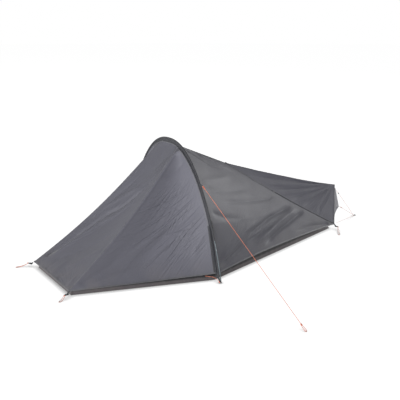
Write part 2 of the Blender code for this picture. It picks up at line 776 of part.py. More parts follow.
def build_corners():
    """At each fly corner a webbing tab, a buckle and an orange peg loop."""
    head, foot = Vector((HEAD_X, HEAD_HALF_WIDTH, HEAD_HEM_Z)), Vector(FOOT_CORNER)
    corners = {
        "head_near": (mirror(head), (-0.0165, -0.0084, -0.0125), (-0.056, -0.027)),
        "head_far": (head, (-0.0153, 0.0203, -0.016), (-0.0966, 0.0275)),
        "foot_near": (mirror(foot), (-0.002, -0.025, -0.010), (-0.090, -0.114)),
        "foot_far": (foot, (-0.002, 0.025, -0.010), (-0.090, 0.114)),
    }
    for name, (corner, lead, reach) in corners.items():
        lead = Vector(lead)
        along = lead.normalized()
        start, end = corner + along * TAB_START, corner + lead
        size = ((end - start).length, TAB_WIDTH, WEBBING)
        box(f"corner_tab_{name}", (start + end) / 2, along, along.cross(UP).normalized(), size, "webbing")
        flat = Vector((along.x, along.y, 0.0)).normalized()
        buckle_at = end + flat * (BUCKLE_LENGTH / 2 + BUCKLE_CLEARANCE)
        ladder_buckle(f"corner_buckle_{name}", buckle_at, flat)
        tip = buckle_at + flat * (BUCKLE_LENGTH / 2 + LOOP_RADIUS + GAP)
        peg_loop(f"peg_loop_{name}", tip, flat, Vector((*reach, 0.0)))


def peg_loop(name, tip, flat, reach):
    """A cord loop that leaves a buckle, goes round where a peg stands and comes back."""
    side = Vector((-flat.y, flat.x, 0.0)) * LOOP_HALF_WIDTH
    far = tip + reach
    away = reach.normalized()
    turn = Vector((-away.y, away.x, 0.0)) * LOOP_TURN
    low = LOOP_RADIUS + LOOP_LIFT
    route = [tip - side,
             blend(tip - side, far - turn, 0.45),
             far - turn - away * LOOP_TURN_BACK,
             far,
             far + turn - away * LOOP_TURN_BACK,
             blend(tip + side, far + turn, 0.45),
             tip + side]
    heights = (tip.z, (tip.z * 0.25 + low * 0.75), low, low, low, (tip.z * 0.25 + low * 0.75), tip.z)
    for point, z in zip(route, heights):
        point.z = z
    cord(name, smooth_route(route, 34), LOOP_RADIUS)


def build_hoop_feet():
    """At each end of the pole a webbing foot with a metal eyelet, and a cord to the groundsheet."""
    for side, sign in (("near", -1.0), ("far", 1.0)):
        tip = HOOP.at(0.0 if sign < 0 else float(STATIONS), POLE_INSET)
        eyelet_at = Vector((0.0, tip.y, 0.0060))
        bpy.ops.mesh.primitive_torus_add(major_radius=EYELET_RADIUS, minor_radius=EYELET_WIRE,
                                         major_segments=16, minor_segments=8, location=eyelet_at)
        eyelet = bpy.context.object
        eyelet.name = f"hoop_foot_eyelet_{side}"
        adopt(eyelet, "plain_alloy")
        hem = Vector((0.0, sign * (HOOP_HEM_HALF_WIDTH + 0.004), HEM_Z - 0.006))
        edge = eyelet_at - Vector((0.0, sign * (EYELET_RADIUS + EYELET_WIRE + GAP + 0.0012), 0.0))
        size = ((edge - hem).length, HOOP_STRAP_WIDTH, WEBBING)
        box(f"hoop_foot_strap_{side}", (hem + edge) / 2, edge - hem, ALONG, size, "webbing")
        route = [(-0.0112, tip.y, 0.0060), (-0.0170, sign * 0.7290, 0.0210), (-0.0280, sign * 0.7110, 0.0360),
                 (-0.0430, sign * 0.6920, 0.0430), (-0.0600, sign * 0.6660, 0.0425),
                 (-0.0720, sign * 0.6300, 0.0385)]
        cord(f"peg_loop_hoop_{side}", smooth_route(route, 30), LOOP_RADIUS)


def build_strut():
    """The short upright rod that holds the foot peak."""
    bm = bmesh.new()
    middle = (STRUT_X, 0.0, STRUT_HEIGHT / 2 + 0.0002)
    bmesh.ops.create_cone(bm, cap_ends=True, segments=12, radius1=STRUT_RADIUS, radius2=STRUT_RADIUS,
                          depth=STRUT_HEIGHT, matrix=Matrix.Translation(middle))
    piece = place("foot_strut", mesh_from("foot_strut", bm), "pole_alloy")
    piece.data.set_sharp_from_angle(angle=math.radians(40))


def sheet_outline(lean):
    """The groundsheet's plan, drawn in by a lean, anticlockwise from the near head corner."""
    head_x, head_y = SHEET_HEAD
    hoop_x, hoop_y = SHEET_HOOP
    foot_x, foot_y = SHEET_FOOT
    near = [(head_x + lean, -head_y + lean), (hoop_x, -hoop_y + lean), (foot_x - lean, -foot_y + lean)]
    return near + [(x, -y) for x, y in reversed(near)]


def build_groundsheet():
    """The bathtub floor: a flat sheet whose edge turns up all round."""
    bm = bmesh.new()
    low = [bm.verts.new((x, y, SHEET_THICKNESS)) for x, y in sheet_outline(0.0)]
    high = [bm.verts.new((x, y, SHEET_WALL)) for x, y in sheet_outline(SHEET_LEAN)]
    bm.faces.new(low)
    for i in range(len(low)):
        j = (i + 1) % len(low)
        bm.faces.new((low[i], low[j], high[j], high[i]))
    piece = place("groundsheet", mesh_from("groundsheet", bm), "floor_fabric", smooth=False)
    solid = piece.modifiers.new("thickness", "SOLIDIFY")
    solid.solidify_mode = "NON_MANIFOLD"
    solid.nonmanifold_thickness_mode = "CONSTRAINTS"
    solid.thickness = SHEET_THICKNESS
    solid.offset = 1.0


def inner_arch(t):
    """Point on the inner tent's arch under the hoop, from near base to far base."""
    angle = math.pi * t
    y = -INNER_HALF_WIDTH * math.cos(angle)
    share = abs(y) / INNER_HALF_WIDTH
    z = INNER_HEIGHT * max(0.0, 1.0 - share ** HOOP_SIDE_POWER) ** (1.0 / HOOP_TOP_POWER)
    return Vector((0.0, y, max(z, INNER_BASE_Z)))


def inner_rail(start, end, x):
    """A rail along the inner tent's arch, moved along the tent by x."""
    def rail(v):
        return inner_arch(start + (end - start) * v) + ALONG * x
    return rail


def mesh_wall(name, grid, depth, gap=SEAM_GAP):
    """One panel of the inner tent, its middle drawn in."""
    cloth(name, hollowed(grid, depth), "inner_mesh", MESH_FABRIC, gap)


def build_inner():
    """The inner tent: five walls and a drop-down door that rise from the groundsheet's edge."""
    head_near = Vector((SHEET_HEAD[0] + SHEET_LEAN, -SHEET_HEAD[1] + SHEET_LEAN, INNER_BASE_Z))
    foot_near = Vector((SHEET_FOOT[0] - SHEET_LEAN, -SHEET_FOOT[1] + SHEET_LEAN, INNER_BASE_Z))
    top_t = math.acos(INNER_TOP_Y / INNER_HALF_WIDTH) / math.pi
    near_top = inner_arch(top_t) - ALONG * INNER_SHIFT
    near_seam = hanging(near_top, head_near, INNER_HEAD_SAG)
    far_seam = hanging(mirror(near_top), mirror(head_near), INNER_HEAD_SAG)
    head = arched_panel(near_seam, far_seam, inner_rail(top_t, 1.0 - top_t, -INNER_SHIFT),
                        hanging(head_near, mirror(head_near), 0.0), 10, 6)
    mesh_wall("inner_head_wall", head, INNER_HOLLOW)
    door_leg = inner_rail(top_t, INNER_BASE_T, -INNER_SHIFT)
    mesh_wall("inner_door", ruled(near_seam, door_leg, 10, 6, 0.06, 0.99), INNER_FRONT_HOLLOW, INNER_DOOR_GAP)
    mesh_wall("inner_far_front_wall", far_copy(ruled(near_seam, door_leg, 10, 6, 0.06)), INNER_FRONT_HOLLOW)
    seam_near = hanging(INNER_BREAK, foot_near, INNER_FOOT_SAG)
    seam_far = hanging(INNER_BREAK, mirror(foot_near), INNER_FOOT_SAG)
    side = ruled(inner_rail(0.5, INNER_BASE_T, INNER_SHIFT), seam_near, 10, 6)
    mesh_wall("inner_near_side_wall", side, INNER_HOLLOW)
    mesh_wall("inner_far_side_wall", far_copy(side), INNER_HOLLOW)
    ridge = hanging(INNER_BREAK, INNER_PEAK, INNER_RIDGE_SAG)
    mesh_wall("inner_foot_roof", creased((seam_near, ridge, seam_far), 10, 3, 0.05), INNER_FOOT_HOLLOW)


for old in list(bpy.data.objects):
    bpy.data.objects.remove(old, do_unlink=True)
TENT = collection("one_person_tent")
CUTTERS = collection("cutters")
build_pole()
build_sleeve()
build_fly()
build_zip()
build_corners()
build_hoop_feet()
build_guylines()
build_strut()
build_groundsheet()
build_inner()
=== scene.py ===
"""One-person tent on a single cross hoop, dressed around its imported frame.

+X runs to the low foot end, +Y to the far side and +Z up, with the origin on the ground under the
middle of the hoop. The door is on the near side, at -Y. All sizes are in metres.
"""
import logging
import math
from collections.abc import Callable, Iterable, Sequence
from dataclasses import dataclass, field, replace
from enum import Enum

import bmesh
import bpy
import numpy as np
from mathutils import Matrix, Vector


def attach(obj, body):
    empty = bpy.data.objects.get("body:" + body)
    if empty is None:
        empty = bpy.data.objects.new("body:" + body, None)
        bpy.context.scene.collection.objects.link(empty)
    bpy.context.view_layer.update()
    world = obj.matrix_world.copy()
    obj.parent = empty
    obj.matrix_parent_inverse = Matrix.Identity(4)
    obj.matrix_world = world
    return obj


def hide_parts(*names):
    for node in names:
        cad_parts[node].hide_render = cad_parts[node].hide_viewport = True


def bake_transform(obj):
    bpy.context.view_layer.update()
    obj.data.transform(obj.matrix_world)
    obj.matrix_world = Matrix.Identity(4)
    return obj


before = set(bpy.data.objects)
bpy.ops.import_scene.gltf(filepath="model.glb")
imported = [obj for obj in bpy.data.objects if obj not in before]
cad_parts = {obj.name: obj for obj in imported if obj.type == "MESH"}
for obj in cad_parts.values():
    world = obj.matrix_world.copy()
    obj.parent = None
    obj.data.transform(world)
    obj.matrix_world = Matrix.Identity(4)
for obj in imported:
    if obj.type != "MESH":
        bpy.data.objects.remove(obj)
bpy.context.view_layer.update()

LOG = logging.getLogger("tent")

Array = np.ndarray
Mesh = bpy.types.Mesh
Socket = bpy.types.NodeSocket
Sockets = dict[str, Socket]
Point = tuple[float, float, float]
Share = tuple[float, float]
Rail = Callable[[Array], Array]

TURN = 2 * math.pi
UP = np.array([0.0, 0.0, 1.0])
ALONG = np.array([1.0, 0.0, 0.0])
NEAR = np.ones(3)
FAR = np.array([1.0, -1.0, 1.0])
SIDES = {"near": NEAR, "far": FAR}
INSIDE = np.array([0.3, 0.0, 0.2])
TENT = "tent"
HARD_EDGE = math.radians(42)


@dataclass(frozen=True)
class TentForm:
    """The tent's driving dimensions."""

    hoop_height: float = 1.0
    hoop_half_width: float = 0.75
    hoop_side_power: float = 2.26
    hoop_top_power: float = 1.18
    head_corner: Point = (-1.05, 0.36, 0.042)
    head_hem_rise: float = 0.004
    head_hem_bow: float = 0.003
    hem_height: float = 0.05
    hoop_hem_half_width: float = 0.69
    ridge_break: Point = (0.55, 0.0, 0.73)
    foot_corner: Point = (1.67, 0.22, 0.044)
    foot_peak: Point = (1.87, 0.0, 0.36)
    pull_out: Point = (1.94, 0.0, 0.13)
    end_hem: Point = (1.82, 0.0, 0.05)
    seam_top_y: float = 0.15
    head_seam_sag: float = 0.055
    foot_seam_sag: float = 0.018
    ridge_sag: float = 0.008
    side_hem_trim: float = 0.028
    side_hem_power: float = 0.6
    door_hem_trim: float = 0.012
    sleeve_depth_top: float = 0.04
    sleeve_depth_end: float = 0.0165
    sleeve_end_height: float = 0.31
    straight_end_height: float = 0.43
    leg_spread: float = 0.09
    pole_inset: float = 0.008
    leg_side: float = 0.004
    door_edge: float = 0.015
    cloth: float = 0.0006
    cell: float = 0.01


FORM = TentForm()


def unit(rows: Array) -> Array:
    """Scales each row of an array to length one."""
    return rows / np.maximum(np.linalg.norm(rows, axis=-1, keepdims=True), 1e-9)


def ease(share: Array) -> Array:
    """Turns a ramp from 0 to 1 into a smooth one, flat at both ends."""
    held = np.clip(share, 0.0, 1.0)
    return held * held * (3.0 - 2.0 * held)


def far_side(point: Sequence[float]) -> Array:
    """Returns the matching point on the far side."""
    return np.array(point) * FAR


def lengths(points: Array) -> Array:
    """Returns the distance run along a line at each of its points."""
    steps = np.linalg.norm(np.diff(points, axis=0), axis=-1)
    return np.concatenate(([0.0], np.cumsum(steps)))


def smooth_route(points: Sequence[Sequence[float]], count: int) -> Array:
    """Draws a smooth curve through a route's own points.

    Args:
        points: The route's points, in order.
        count: How many evenly spaced points the curve gets.

    Returns:
        The curve's points, one a row.
    """
    knots = [np.array(p, float) for p in points]
    padded = [knots[0] * 2 - knots[1]] + knots + [knots[-1] * 2 - knots[-2]]
    dense = []
    for k in range(1, len(padded) - 2):
        a, b, c, d = padded[k - 1:k + 3]
        for t in np.arange(24) / 24:
            dense.append(0.5 * (2 * b + (c - a) * t + (2 * a - 5 * b + 4 * c - d) * t * t
                                + (3 * b - a - 3 * c + d) * t ** 3))
    line = np.array(dense + [knots[-1]])
    run = lengths(line)
    stops = np.linspace(0.0, run[-1], count)
    return np.stack([np.interp(stops, run, line[:, k]) for k in range(3)], axis=1)


class HoopLine:
    """The hoop's outer line, from the near foot over the top to the far foot."""

    SAMPLES = 1200

    def __init__(self, form: TentForm) -> None:
        """Works the line out from the form's height, width and powers."""
        self.form = form
        angle = np.linspace(0.0, math.pi, 6001)
        y = -form.hoop_half_width * np.cos(angle)
        across = np.clip(np.abs(y) / form.hoop_half_width, 0.0, 1.0)
        z = form.hoop_height * (1.0 - across ** form.hoop_side_power) ** (1.0 / form.hoop_top_power)
        run = lengths(np.stack([y, z], axis=1))
        self.length = float(run[-1])
        self.share = np.linspace(0.0, 1.0, self.SAMPLES + 1)
        self.y = np.interp(self.share * self.length, run, y)
        self.z = np.interp(self.share * self.length, run, z)
        way = unit(np.stack([np.gradient(self.y), np.gradient(self.z)], axis=1))
        self.out_y, self.out_z = -way[:, 1], way[:, 0]
        half = self.SAMPLES // 2
        self.sleeve_start = float(np.interp(form.sleeve_end_height, self.z[:half], self.share[:half]))
        self.straight_start = float(np.interp(form.straight_end_height, self.z[:half], self.share[:half]))

    def out(self, share: Array) -> Array:
        """Returns the outward direction at each share of the line's length."""
        share = np.asarray(share, float)
        y = np.interp(share, self.share, self.out_y)
        return np.stack([y * 0.0, y, np.interp(share, self.share, self.out_z)], axis=-1)

    def point(self, share: Array, inset: float | Array = 0.0) -> Array:
        """Returns the place at each share of the line's length, drawn in by an inset."""
        share = np.asarray(share, float)
        y = np.interp(share, self.share, self.y)
        place = np.stack([y * 0.0, y, np.interp(share, self.share, self.z)], axis=-1)
        return place - self.out(share) * np.asarray(inset)[..., None]

    def depth(self, share: Array) -> Array:
        """Returns the depth of the sleeve and its web, deepest at the top of the hoop and at its low ends."""
        reach = np.abs(np.asarray(share) - 0.5) / (0.5 - self.straight_start)
        drop = self.form.sleeve_depth_end - self.form.sleeve_depth_top
        arch = self.form.sleeve_depth_top + drop * np.sin(math.pi / 2 * np.minimum(reach, 1.0))
        return arch + self.form.leg_spread * np.maximum(reach - 1.0, 0.0)

    def share_at_y(self, y: float) -> float:
        """Returns the share of the near half where the line passes a Y value."""
        half = self.SAMPLES // 2
        return float(np.interp(y, self.y[:half], self.share[:half]))


class BaseLine:
    """The line where the fly meets the sleeve, from the near hem over the hoop to the far hem."""

    def __init__(self, form: TentForm, hoop: HoopLine) -> None:
        """Joins the straight legs below the sleeve to the arch inside it."""
        share = np.linspace(hoop.straight_start, 1.0 - hoop.straight_start, 240)
        arch = hoop.point(share, hoop.depth(share))
        hem = np.array([0.0, -form.hoop_hem_half_width, form.hem_height])
        self.line = np.vstack([hem, arch, far_side(hem)])
        self.run = lengths(self.line)
        self.run /= self.run[-1]
        self.straight = float(self.run[1])
        self.seam_top = float(np.interp(-form.seam_top_y, self.line[:, 1], self.run))

    def at(self, share: Array, x: float = 0.0) -> Array:
        """Returns the place at each share of the line's length, moved along by x."""
        share = np.asarray(share, float)
        y = np.interp(share, self.run, self.line[:, 1])
        return np.stack([y * 0.0 + x, y, np.interp(share, self.run, self.line[:, 2])], axis=-1)

    def rail(self, start: float, end: float, x: float) -> Rail:
        """Returns a rail along the line between two shares of its length."""
        return lambda v: self.at(start + (end - start) * v, x)


HOOP = HoopLine(FORM)
BASE = BaseLine(FORM, HOOP)


def hanging(a: Sequence[float], b: Sequence[float], sag: float = 0.0) -> Rail:
    """Returns a rail that hangs below its chord.

    Args:
        a: Where the rail starts.
        b: Where it ends.
        sag: How far its middle hangs down.

    Returns:
        The rail.
    """
    start, end = np.array(a, float), np.array(b, float)

    def rail(v: Array) -> Array:
        """Returns the rail's places."""
        v = np.asarray(v, float)[..., None]
        return start + (end - start) * v - UP * (sag * np.sin(math.pi * v))
    return rail


def grid_size(rail_a: Rail, rail_b: Rail, cell: float, first: float = 0.0, last: float = 1.0) -> tuple[int, int]:
    """Returns how many rows and columns a grid between two rails takes.

    Args:
        rail_a: The rail of the first column.
        rail_b: The rail of the last column.
        cell: How long and wide a cell is at most.
        first: Share of the rails where the first row is.
        last: Share of the rails where the last row is.

    Returns:
        The rows and the columns, at least four of each.
    """
    stops = np.linspace(first, last, 9)
    a, b = rail_a(stops), rail_b(stops)
    down, across = max(lengths(a)[-1], lengths(b)[-1]), np.linalg.norm(b - a, axis=-1).max()
    return max(int(down / cell), 4), max(int(across / cell), 4)


def ruled(rail_a: Rail, rail_b: Rail, first: float = 0.0, last: float = 1.0,
          size: tuple[int, int] | None = None) -> Array:
    """Makes a grid of points with rows along two rails and straight columns across.

    Args:
        rail_a: The rail of the first column.
        rail_b: The rail of the last column.
        first: Share of the rails where the first row is.
        last: Share of the rails where the last row is.
        size: Rows and columns. Left out, they follow from the form's cell size.

    Returns:
        An array of rows, columns and the three coordinates.
    """
    size = size or grid_size(rail_a, rail_b, FORM.cell, first, last)
    v = np.linspace(first, last, size[0] + 1)
    u = np.linspace(0.0, 1.0, size[1] + 1)[None, :, None]
    return rail_a(v)[:, None] * (1.0 - u) + rail_b(v)[:, None] * u


def trimmed(rail_a: Rail, rail_b: Rail, trim: Rail, first: float = 0.0) -> Array:
    """Makes a ruled grid whose last row is cut away along a curve.

    Args:
        rail_a: The rail of the first column.
        rail_b: The rail of the last column.
        trim: Share of the rails that is cut away, from how far across the column is.
        first: Share of the rails where the first row is.

    Returns:
        An array of rows, columns and the three coordinates.
    """
    rows, cols = ruled(rail_a, rail_b, first).shape[:2]
    u = np.linspace(0.0, 1.0, cols)
    v = first + np.linspace(0.0, 1.0, rows)[:, None] * (1.0 - first - trim(u))[None]
    return rail_a(v) * (1.0 - u[None, :, None]) + rail_b(v) * u[None, :, None]


def arched(grid: Array, arch: Rail) -> Array:
    """Moves a grid's first row to an arch. The other rows follow less and less, and the last stays."""
    rows, cols = grid.shape[:2]
    fall = 1.0 - np.linspace(0.0, 1.0, rows)[:, None, None]
    return grid + (arch(np.linspace(0.0, 1.0, cols)) - grid[0]) * fall


class Edge(Enum):
    """The four edges of a panel's grid: the axis that leads away from it, and the way along that axis."""

    START = (0, 1)
    END = (0, -1)
    LEFT = (1, 1)
    RIGHT = (1, -1)


@dataclass(frozen=True)
class Fold:
    """A pull fold that runs through a few places of a panel, given as shares (across, down).

    A positive height stands out of the tent and a negative one sinks in. A crest near 1 is sharp and
    one of 2 is round.
    """

    route: tuple[Share, ...]
    height: float
    width: float
    crest: float = 1.5
    fade: Share = (0.25, 0.25)

    def mirrored(self, share: float = 0.85, shift: float = 0.02) -> "Fold":
        """Returns the like fold on the other side, a little lower and further down."""
        route = tuple((1.0 - across, min(down + shift, 1.0)) for across, down in self.route)
        return Fold(route, self.height * share, self.width, self.crest, self.fade)


@dataclass(frozen=True)
class Puckers:
    """Small gathers that a seam's stitches pull into the cloth beside it."""

    height: float = 0.0007
    pitch: float = 0.032
    reach: float = 0.03


@dataclass(frozen=True)
class EdgeLine:
    """An edge of a panel: its points, the way into the panel and the way out of the tent."""

    points: Array
    inward: Array
    normal: Array

    def part(self, start: float, end: float) -> "EdgeLine":
        """Returns the stretch of the edge between two shares of its points."""
        last = len(self.points) - 1
        stretch = slice(round(start * last), round(end * last) + 1)
        return EdgeLine(self.points[stretch], self.inward[stretch], self.normal[stretch])


class Sheet:
    """A sewn panel: a fine grid of points with its normals and its flat pattern."""

    def __init__(self, grid: Array, ridge: int | None = None) -> None:
        """Takes the grid, and the column of its ridge where it has one."""
        self.ridge = ridge
        self.settle(grid)
        self.flat = self.pattern()

    def settle(self, grid: Array) -> None:
        """Takes new points and works out the normals, which point out of the tent."""
        self.points = grid
        normal = unit(np.cross(np.gradient(grid, axis=1), np.gradient(grid, axis=0)))
        outward = np.sum(normal * (grid - INSIDE), axis=-1).mean()
        self.normals = normal * math.copysign(1.0, outward)

    def pattern(self) -> Array:
        """Lays the panel flat, in its own plane or on both sides of its ridge."""
        grid = self.points
        if self.ridge is None:
            centre = grid.reshape(-1, 3).mean(axis=0)
            normal = unit(self.normals.reshape(-1, 3).mean(axis=0))
            down = grid[-1].mean(axis=0) - grid[0].mean(axis=0)
            down = unit(down - normal * (down @ normal))
            return np.stack([(grid - centre) @ np.cross(down, normal), (grid - centre) @ down], axis=-1)
        start, end = grid[0, self.ridge], grid[-1, self.ridge]
        way = unit(end - start)
        down = (grid - start) @ way
        away = np.linalg.norm(grid - start - down[..., None] * way, axis=-1)
        side = np.sign(np.arange(grid.shape[1]) - self.ridge)
        return np.stack([away * side[None, :], down], axis=-1)

    def shares(self) -> tuple[Array, Array]:
        """Returns how far across and how far down each point is."""
        rows, cols = self.points.shape[:2]
        down, across = np.meshgrid(np.linspace(0, 1, rows), np.linspace(0, 1, cols), indexing="ij")
        return across, down

    def index(self, share: Share) -> tuple[int, int]:
        """Returns the row and column nearest to a place given as shares (across, down)."""
        rows, cols = self.points.shape[:2]
        return round(share[1] * (rows - 1)), round(share[0] * (cols - 1))

    def relief(self, folds: Iterable[Fold]) -> Array:
        """Adds up the heights of folds over the panel."""
        heights = np.zeros(self.points.shape[:2])
        for fold in folds:
            stops = [self.points[self.index(share)] for share in fold.route]
            whole = float(lengths(np.array(stops))[-1])
            away = np.full(heights.shape, np.inf)
            run = np.zeros(heights.shape)
            passed = 0.0
            for a, b in zip(stops, stops[1:]):
                length = float(np.linalg.norm(b - a))
                way = (b - a) / length
                place = np.clip((self.points - a) @ way, 0.0, length)
                gap = np.linalg.norm(self.points - a - place[..., None] * way, axis=-1)
                nearer = gap < away
                away = np.where(nearer, gap, away)
                run = np.where(nearer, (passed + place) / whole, run)
                passed += length
            taper = ease(run / fold.fade[0]) * ease((1.0 - run) / fold.fade[1])
            heights += fold.height * taper * np.exp(-(away / fold.width) ** fold.crest)
        return heights

    def sample(self, across: Array, down: Array) -> tuple[Array, Array]:
        """Returns the places and normals at shares between the grid's points."""
        rows, cols = self.points.shape[:2]
        y, x = np.clip(down, 0, 1) * (rows - 1), np.clip(across, 0, 1) * (cols - 1)
        i, j = np.minimum(y.astype(int), rows - 2), np.minimum(x.astype(int), cols - 2)
        fy, fx = (y - i)[..., None], (x - j)[..., None]
        found = []
        for values in (self.points, self.normals):
            upper = values[i, j] * (1 - fx) + values[i, j + 1] * fx
            lower = values[i + 1, j] * (1 - fx) + values[i + 1, j + 1] * fx
            found.append(upper * (1 - fy) + lower * fy)
        return found[0], unit(found[1])

    def patch(self, corners: Sequence[Share], lift: float, size: tuple[int, int] = (10, 10)) -> "Sheet":
        """Cuts a second layer that lies on the panel.

        Args:
            corners: The patch's four corners as shares, in order round it. Two may be the same.
            lift: How far the layer lies off the panel.
            size: Rows and columns.

        Returns:
            The layer as a sheet.
        """
        a, b, c, d = (np.array(corner, float) for corner in corners)
        s = np.linspace(0.0, 1.0, size[0] + 1)[:, None, None]
        t = np.linspace(0.0, 1.0, size[1] + 1)[None, :, None]
        shares = (a * (1 - t) + b * t) * (1 - s) + (d * (1 - t) + c * t) * s
        points, normals = self.sample(shares[..., 0], shares[..., 1])
        return Sheet(points + normals * lift)

    def distance_to(self, edge: Edge) -> Array:
        """Returns each point's distance to an edge, measured along its row or column."""
        axis, way = edge.value
        steps = np.linalg.norm(np.diff(self.points[::way, ::way], axis=axis), axis=-1)
        return np.insert(np.cumsum(steps, axis=axis), 0, 0.0, axis=axis)[::way, ::way]

    def gathers(self, edge: Edge, puckers: Puckers) -> Array:
        """Returns the heights of the gathers beside one seam."""
        run = lengths(self.edge(edge).points)
        wave = np.sin(TURN * run / puckers.pitch + 2.2 * np.sin(run * 9.0) + 1.3 * np.sin(run * 23.0))
        return puckers.height * np.expand_dims(wave, edge.value[0]) * np.exp(-self.distance_to(edge) / puckers.reach)

    def ripple(self, height: float, length: float) -> Array:
        """Returns a slow uneven swell over the whole panel."""
        x, y = self.flat[..., 0] / length, self.flat[..., 1] / length
        swell = (np.sin(2.1 * x + 1.3 * y) + np.sin(1.1 * x - 2.7 * y + 1.0) + 0.7 * np.sin(3.7 * x + 0.4 * y + 2.0)
                 + 0.5 * np.sin(5.3 * y - 1.9 * x + 0.5))
        return height * swell / 3.2

    def dress(self, folds: Iterable[Fold], held: Sequence[Edge], hollow: float = 0.0,
              lean: float = 1.0, swell: float = 0.0012, puckers: Puckers = Puckers()) -> None:
        """Gives the flat panel its folds, hollow and gathers, and keeps its held edges in place.

        Args:
            folds: The panel's pull folds.
            held: The edges that are sewn to a neighbour and can't move.
            hollow: How far the middle of the panel is drawn into the tent.
            lean: Over 1 where the hollow lies nearer to the right edge, under 1 for the left.
            swell: Height of the slow uneven swell.
            puckers: The gathers beside the held edges.
        """
        across, down = self.shares()
        heights = self.relief(folds) + self.ripple(swell, 0.11)
        heights -= hollow * np.sin(math.pi * across ** lean) * np.sin(math.pi * down) ** 0.7
        keep = np.ones_like(heights)
        gathered = np.zeros_like(heights)
        for edge in held:
            away = self.distance_to(edge)
            keep *= ease(away / 0.03)
            gathered += self.gathers(edge, puckers) * ease(away / 0.006)
        self.settle(self.points + self.normals * (heights * keep + gathered)[..., None])

    def edge(self, edge: Edge) -> EdgeLine:
        """Returns one edge with the way into the panel along the cloth."""
        axis, way = edge.value
        line, inner = np.moveaxis(self.points, axis, 0)[::way][:2]
        run = unit(np.gradient(line, axis=0))
        step = inner - line
        inward = unit(step - run * np.sum(step * run, axis=-1, keepdims=True))
        return EdgeLine(line, inward, unit(np.moveaxis(self.normals, axis, 0)[::way][0]))

    def mesh(self, thickness: float) -> Mesh:
        """Builds the panel's closed mesh, with the flat pattern as its UV map.

        Args:
            thickness: How thick the cloth is.

        Returns:
            Two skins and the edges between them, as one mesh.
        """
        rows, cols = self.points.shape[:2]
        half = self.normals * (thickness / 2)
        skins = np.concatenate([(self.points + half).reshape(-1, 3), (self.points - half).reshape(-1, 3)])
        at = np.arange(rows * cols).reshape(rows, cols)
        top = np.stack([at[:-1, :-1], at[:-1, 1:], at[1:, 1:], at[1:, :-1]], axis=-1).reshape(-1, 4)
        under = top[:, ::-1] + rows * cols
        loop = np.concatenate([at[0, :-1], at[:-1, -1], at[-1, :0:-1], at[:0:-1, 0]])
        following = np.roll(loop, -1)
        rim = np.stack([following, loop, loop + rows * cols, following + rows * cols], axis=1)
        faces = np.concatenate([top, under, rim])
        flat = np.concatenate([self.flat.reshape(-1, 2)] * 2)
        return build_mesh(skins, faces.tolist(), flat[faces.ravel()])


def creased(near: Rail, middle: Rail, far: Rail, first: float, size: tuple[int, int]) -> Sheet:
    """Cuts a panel that is folded along its middle rail.

    Args:
        near: The rail of the near edge.
        middle: The rail of the fold.
        far: The rail of the far edge.
        first: Share of the rails where the first row is.
        size: Rows, and columns on each side of the fold.

    Returns:
        The panel.
    """
    left, right = ruled(near, middle, first, size=size), ruled(middle, far, first, size=size)
    return Sheet(np.concatenate([left, right[:, 1:]], axis=1), ridge=size[1])


def build_mesh(points: Array, faces: list, corner_uvs: Array) -> Mesh:
    """Makes a smooth mesh with its faces pointing out and its hard edges marked.

    Args:
        points: The vertices, one a row.
        faces: Vertex numbers, one face a row.
        corner_uvs: A UV place for each face corner, in order.

    Returns:
        The mesh.
    """
    mesh = bpy.data.meshes.new("piece")
    mesh.from_pydata(points.tolist(), [], faces)
    layer = mesh.uv_layers.new(name="flat_pattern")
    layer.data.foreach_set("uv", np.asarray(corner_uvs, np.float32).ravel())
    mesh.shade_smooth()
    mesh.update()
    bm = bmesh.new()
    bm.from_mesh(mesh)
    bmesh.ops.recalc_face_normals(bm, faces=bm.faces)
    bm.to_mesh(mesh)
    bm.free()
    mesh.set_sharp_from_angle(angle=HARD_EDGE)
    return mesh


def swept(rings: Array, along: Array, around: Array, closed: bool = False) -> Mesh:
    """Makes a closed body from rings of points.

    Args:
        rings: An array of rings, points and coordinates.
        along: Each ring's distance along the body, for the UV map.
        around: Each point's distance round its ring with the first one's again at the end.
        closed: Whether the last ring joins the first. Otherwise both ends are filled.

    Returns:
        The mesh.
    """
    count, sides = rings.shape[:2]
    faces, corners = [], []
    for i in range(count if closed else count - 1):
        n = (i + 1) % count
        for j in range(sides):
            k = (j + 1) % sides
            faces.append((i * sides + j, i * sides + k, n * sides + k, n * sides + j))
            corners += [(along[i], around[j]), (along[i], around[j + 1]), (along[n], around[j + 1]),
                        (along[n], around[j])]
    for i in () if closed else (0, count - 1):
        faces.append(tuple(i * sides + j for j in range(sides)))
        corners += [(along[i], around[j]) for j in range(sides)]
    return build_mesh(rings.reshape(-1, 3), faces, np.array(corners))


def spokes(sides: int, across: Array, other: Array) -> Array:
    """Returns the ways out of a line all round it, from two square ways across it."""
    angle = TURN * np.arange(sides) / sides
    return np.cos(angle)[None, :, None] * across[:, None] + np.sin(angle)[None, :, None] * other


def tube(line: Array, radius: float | Array, sides: int = 12) -> Mesh:
    """Makes a round tube along a line, with filled ends.

    Args:
        line: The centre line's points.
        radius: One radius, or one for each point.
        sides: How many sides the tube has.

    Returns:
        The mesh.
    """
    way = unit(np.gradient(line, axis=0))
    side = unit(np.cross(way[0], UP if abs(way[0][2]) < 0.9 else ALONG))
    across = []
    for direction in way:
        side = unit(side - direction * (side @ direction))
        across.append(side)
    sizes = np.broadcast_to(np.asarray(radius, float), (len(line),))
    rings = line[:, None] + sizes[:, None, None] * spokes(sides, np.array(across), np.cross(way, across)[:, None])
    return swept(rings, lengths(line), np.linspace(0.0, TURN * float(sizes.max()), sides + 1))


